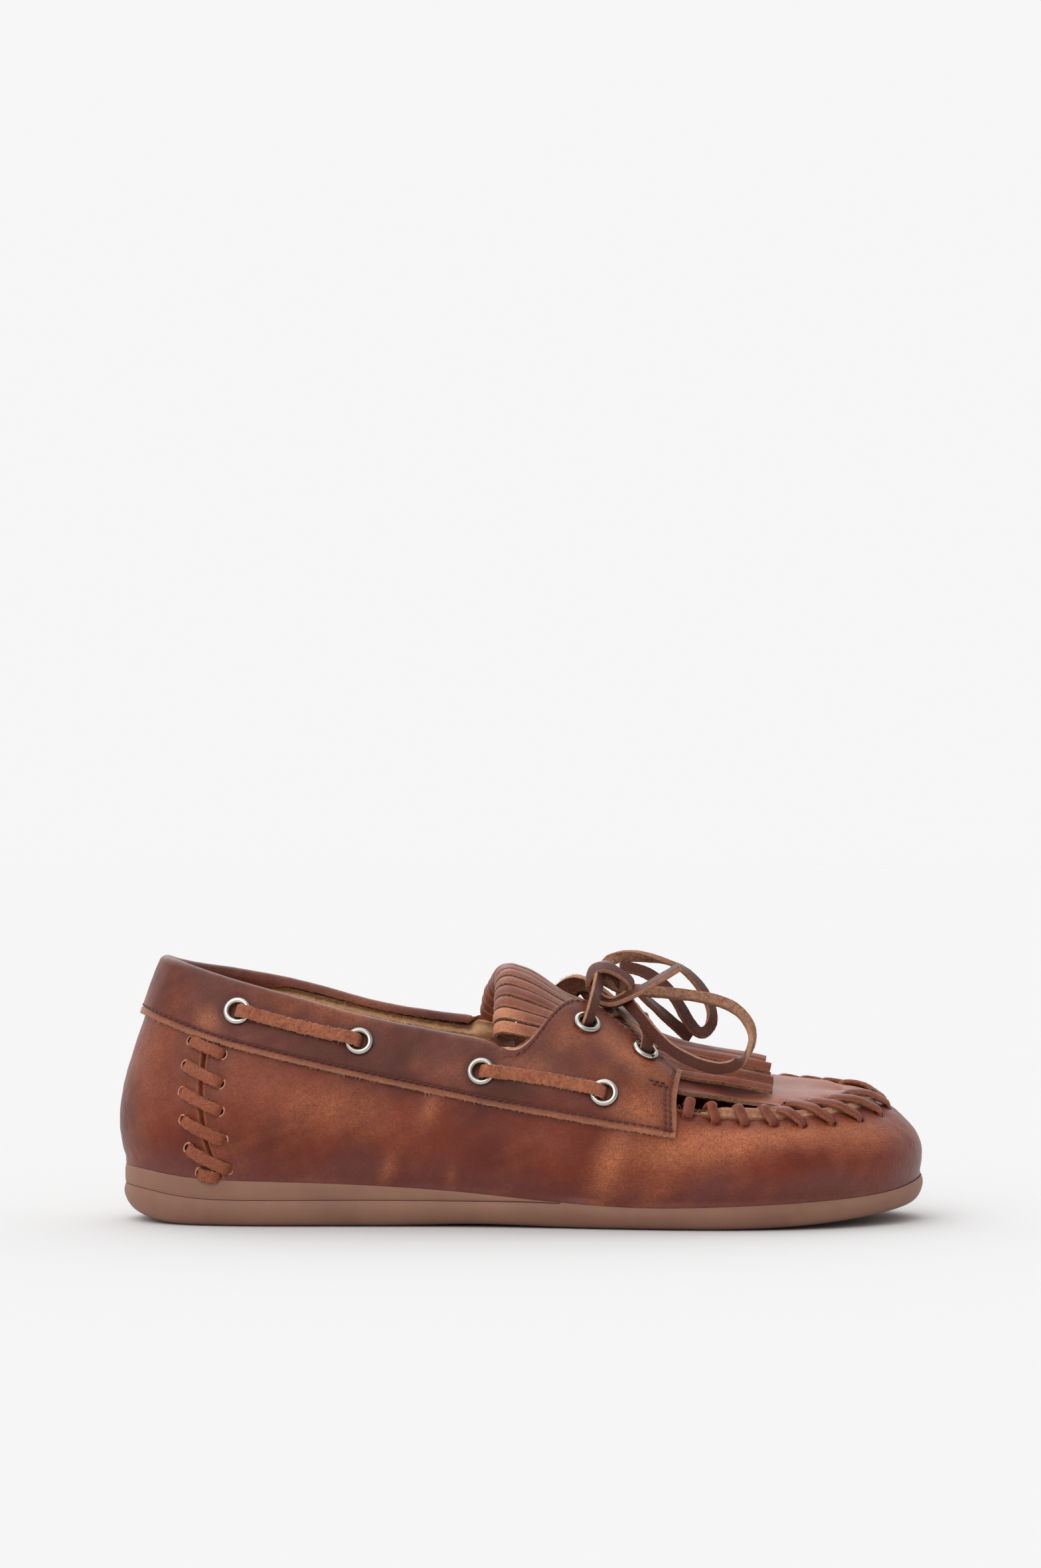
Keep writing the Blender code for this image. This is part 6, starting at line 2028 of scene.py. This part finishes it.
class LOAFER_OT_upper(PieceOperator, bpy.types.Operator):
    """Build the vamp and quarters"""

    bl_idname = "loafer.upper"
    bl_label = "Upper"

    def execute(self, context):
        return done(make_upper())


class LOAFER_OT_saddle(PieceOperator, bpy.types.Operator):
    """Build the folded collar band and its tabs"""

    bl_idname = "loafer.saddle"
    bl_label = "Saddle"

    def execute(self, context):
        return done(make_saddle())


class LOAFER_OT_apron(PieceOperator, bpy.types.Operator):
    """Build the apron and tongue"""

    bl_idname = "loafer.apron"
    bl_label = "Apron"

    def execute(self, context):
        return done(make_apron())


class LOAFER_OT_kiltie(PieceOperator, bpy.types.Operator):
    """Build the fringed flap"""

    bl_idname = "loafer.kiltie"
    bl_label = "Kiltie"

    def execute(self, context):
        return done(make_kiltie())


class LOAFER_OT_eyelets(PieceOperator, bpy.types.Operator):
    """Build the twelve eyelets"""

    bl_idname = "loafer.eyelets"
    bl_label = "Eyelets"

    def execute(self, context):
        return done(*make_eyelets())


class LOAFER_OT_lacing(PieceOperator, bpy.types.Operator):
    """Run the thong through the eyelets"""

    bl_idname = "loafer.lacing"
    bl_label = "Lacing"

    def execute(self, context):
        return done(*make_side_bars(), *make_throat_lace())


class LOAFER_OT_whip_stitches(PieceOperator, bpy.types.Operator):
    """Sew the apron seam and the heel"""

    bl_idname = "loafer.whip_stitches"
    bl_label = "Whip Stitches"

    def execute(self, context):
        return done(*make_whip_stitches(), make_holes())


class LOAFER_OT_machine_stitches(PieceOperator, bpy.types.Operator):
    """Sew the saddle's edges"""

    bl_idname = "loafer.machine_stitches"
    bl_label = "Machine Stitches"

    def execute(self, context):
        return done(make_machine_stitches())


class LOAFER_OT_fibres(PieceOperator, bpy.types.Operator):
    """Fray the cut edges and raise the lining's nap"""

    bl_idname = "loafer.fibres"
    bl_label = "Fibres"

    def execute(self, context):
        return done(make_edge_fibres(), make_thong_fibres(), make_lining_fibres())


OPERATORS = (
    LOAFER_OT_stage, LOAFER_OT_free_lace, LOAFER_OT_sole, LOAFER_OT_upper, LOAFER_OT_saddle,
    LOAFER_OT_apron, LOAFER_OT_kiltie, LOAFER_OT_eyelets, LOAFER_OT_lacing, LOAFER_OT_whip_stitches,
    LOAFER_OT_machine_stitches, LOAFER_OT_fibres,
)


class LOAFER_PT_pieces(bpy.types.Panel):
    """Lists the loafer's pieces, colours and sizes."""

    bl_label = "Loafer"
    bl_idname = "LOAFER_PT_pieces"
    bl_space_type = "VIEW_3D"
    bl_region_type = "UI"
    bl_category = "Loafer"

    def draw(self, context):
        for made in OPERATORS:
            self.layout.operator(made.bl_idname)
        for group in (sizes(), colours()):
            for name in group.bl_rna.properties.keys():
                if name not in ("rna_type", "name"):
                    self.layout.prop(group, name)


CLASSES = (LoaferColours, LoaferSizes, *OPERATORS, LOAFER_PT_pieces)


def register():
    """Add the classes and their settings to the scene."""
    for made in CLASSES:
        bpy.utils.register_class(made)
    bpy.types.Scene.loafer_colours = PointerProperty(type=LoaferColours)
    bpy.types.Scene.loafer_sizes = PointerProperty(type=LoaferSizes)


def unregister():
    """Take them away again."""
    del bpy.types.Scene.loafer_sizes
    del bpy.types.Scene.loafer_colours
    for made in reversed(CLASSES):
        bpy.utils.unregister_class(made)


def main():
    """Make everything in order."""
    register()
    for made in OPERATORS:
        group, name = made.bl_idname.split(".")
        getattr(getattr(bpy.ops, group), name)()


if __name__ == "__main__":
    main()
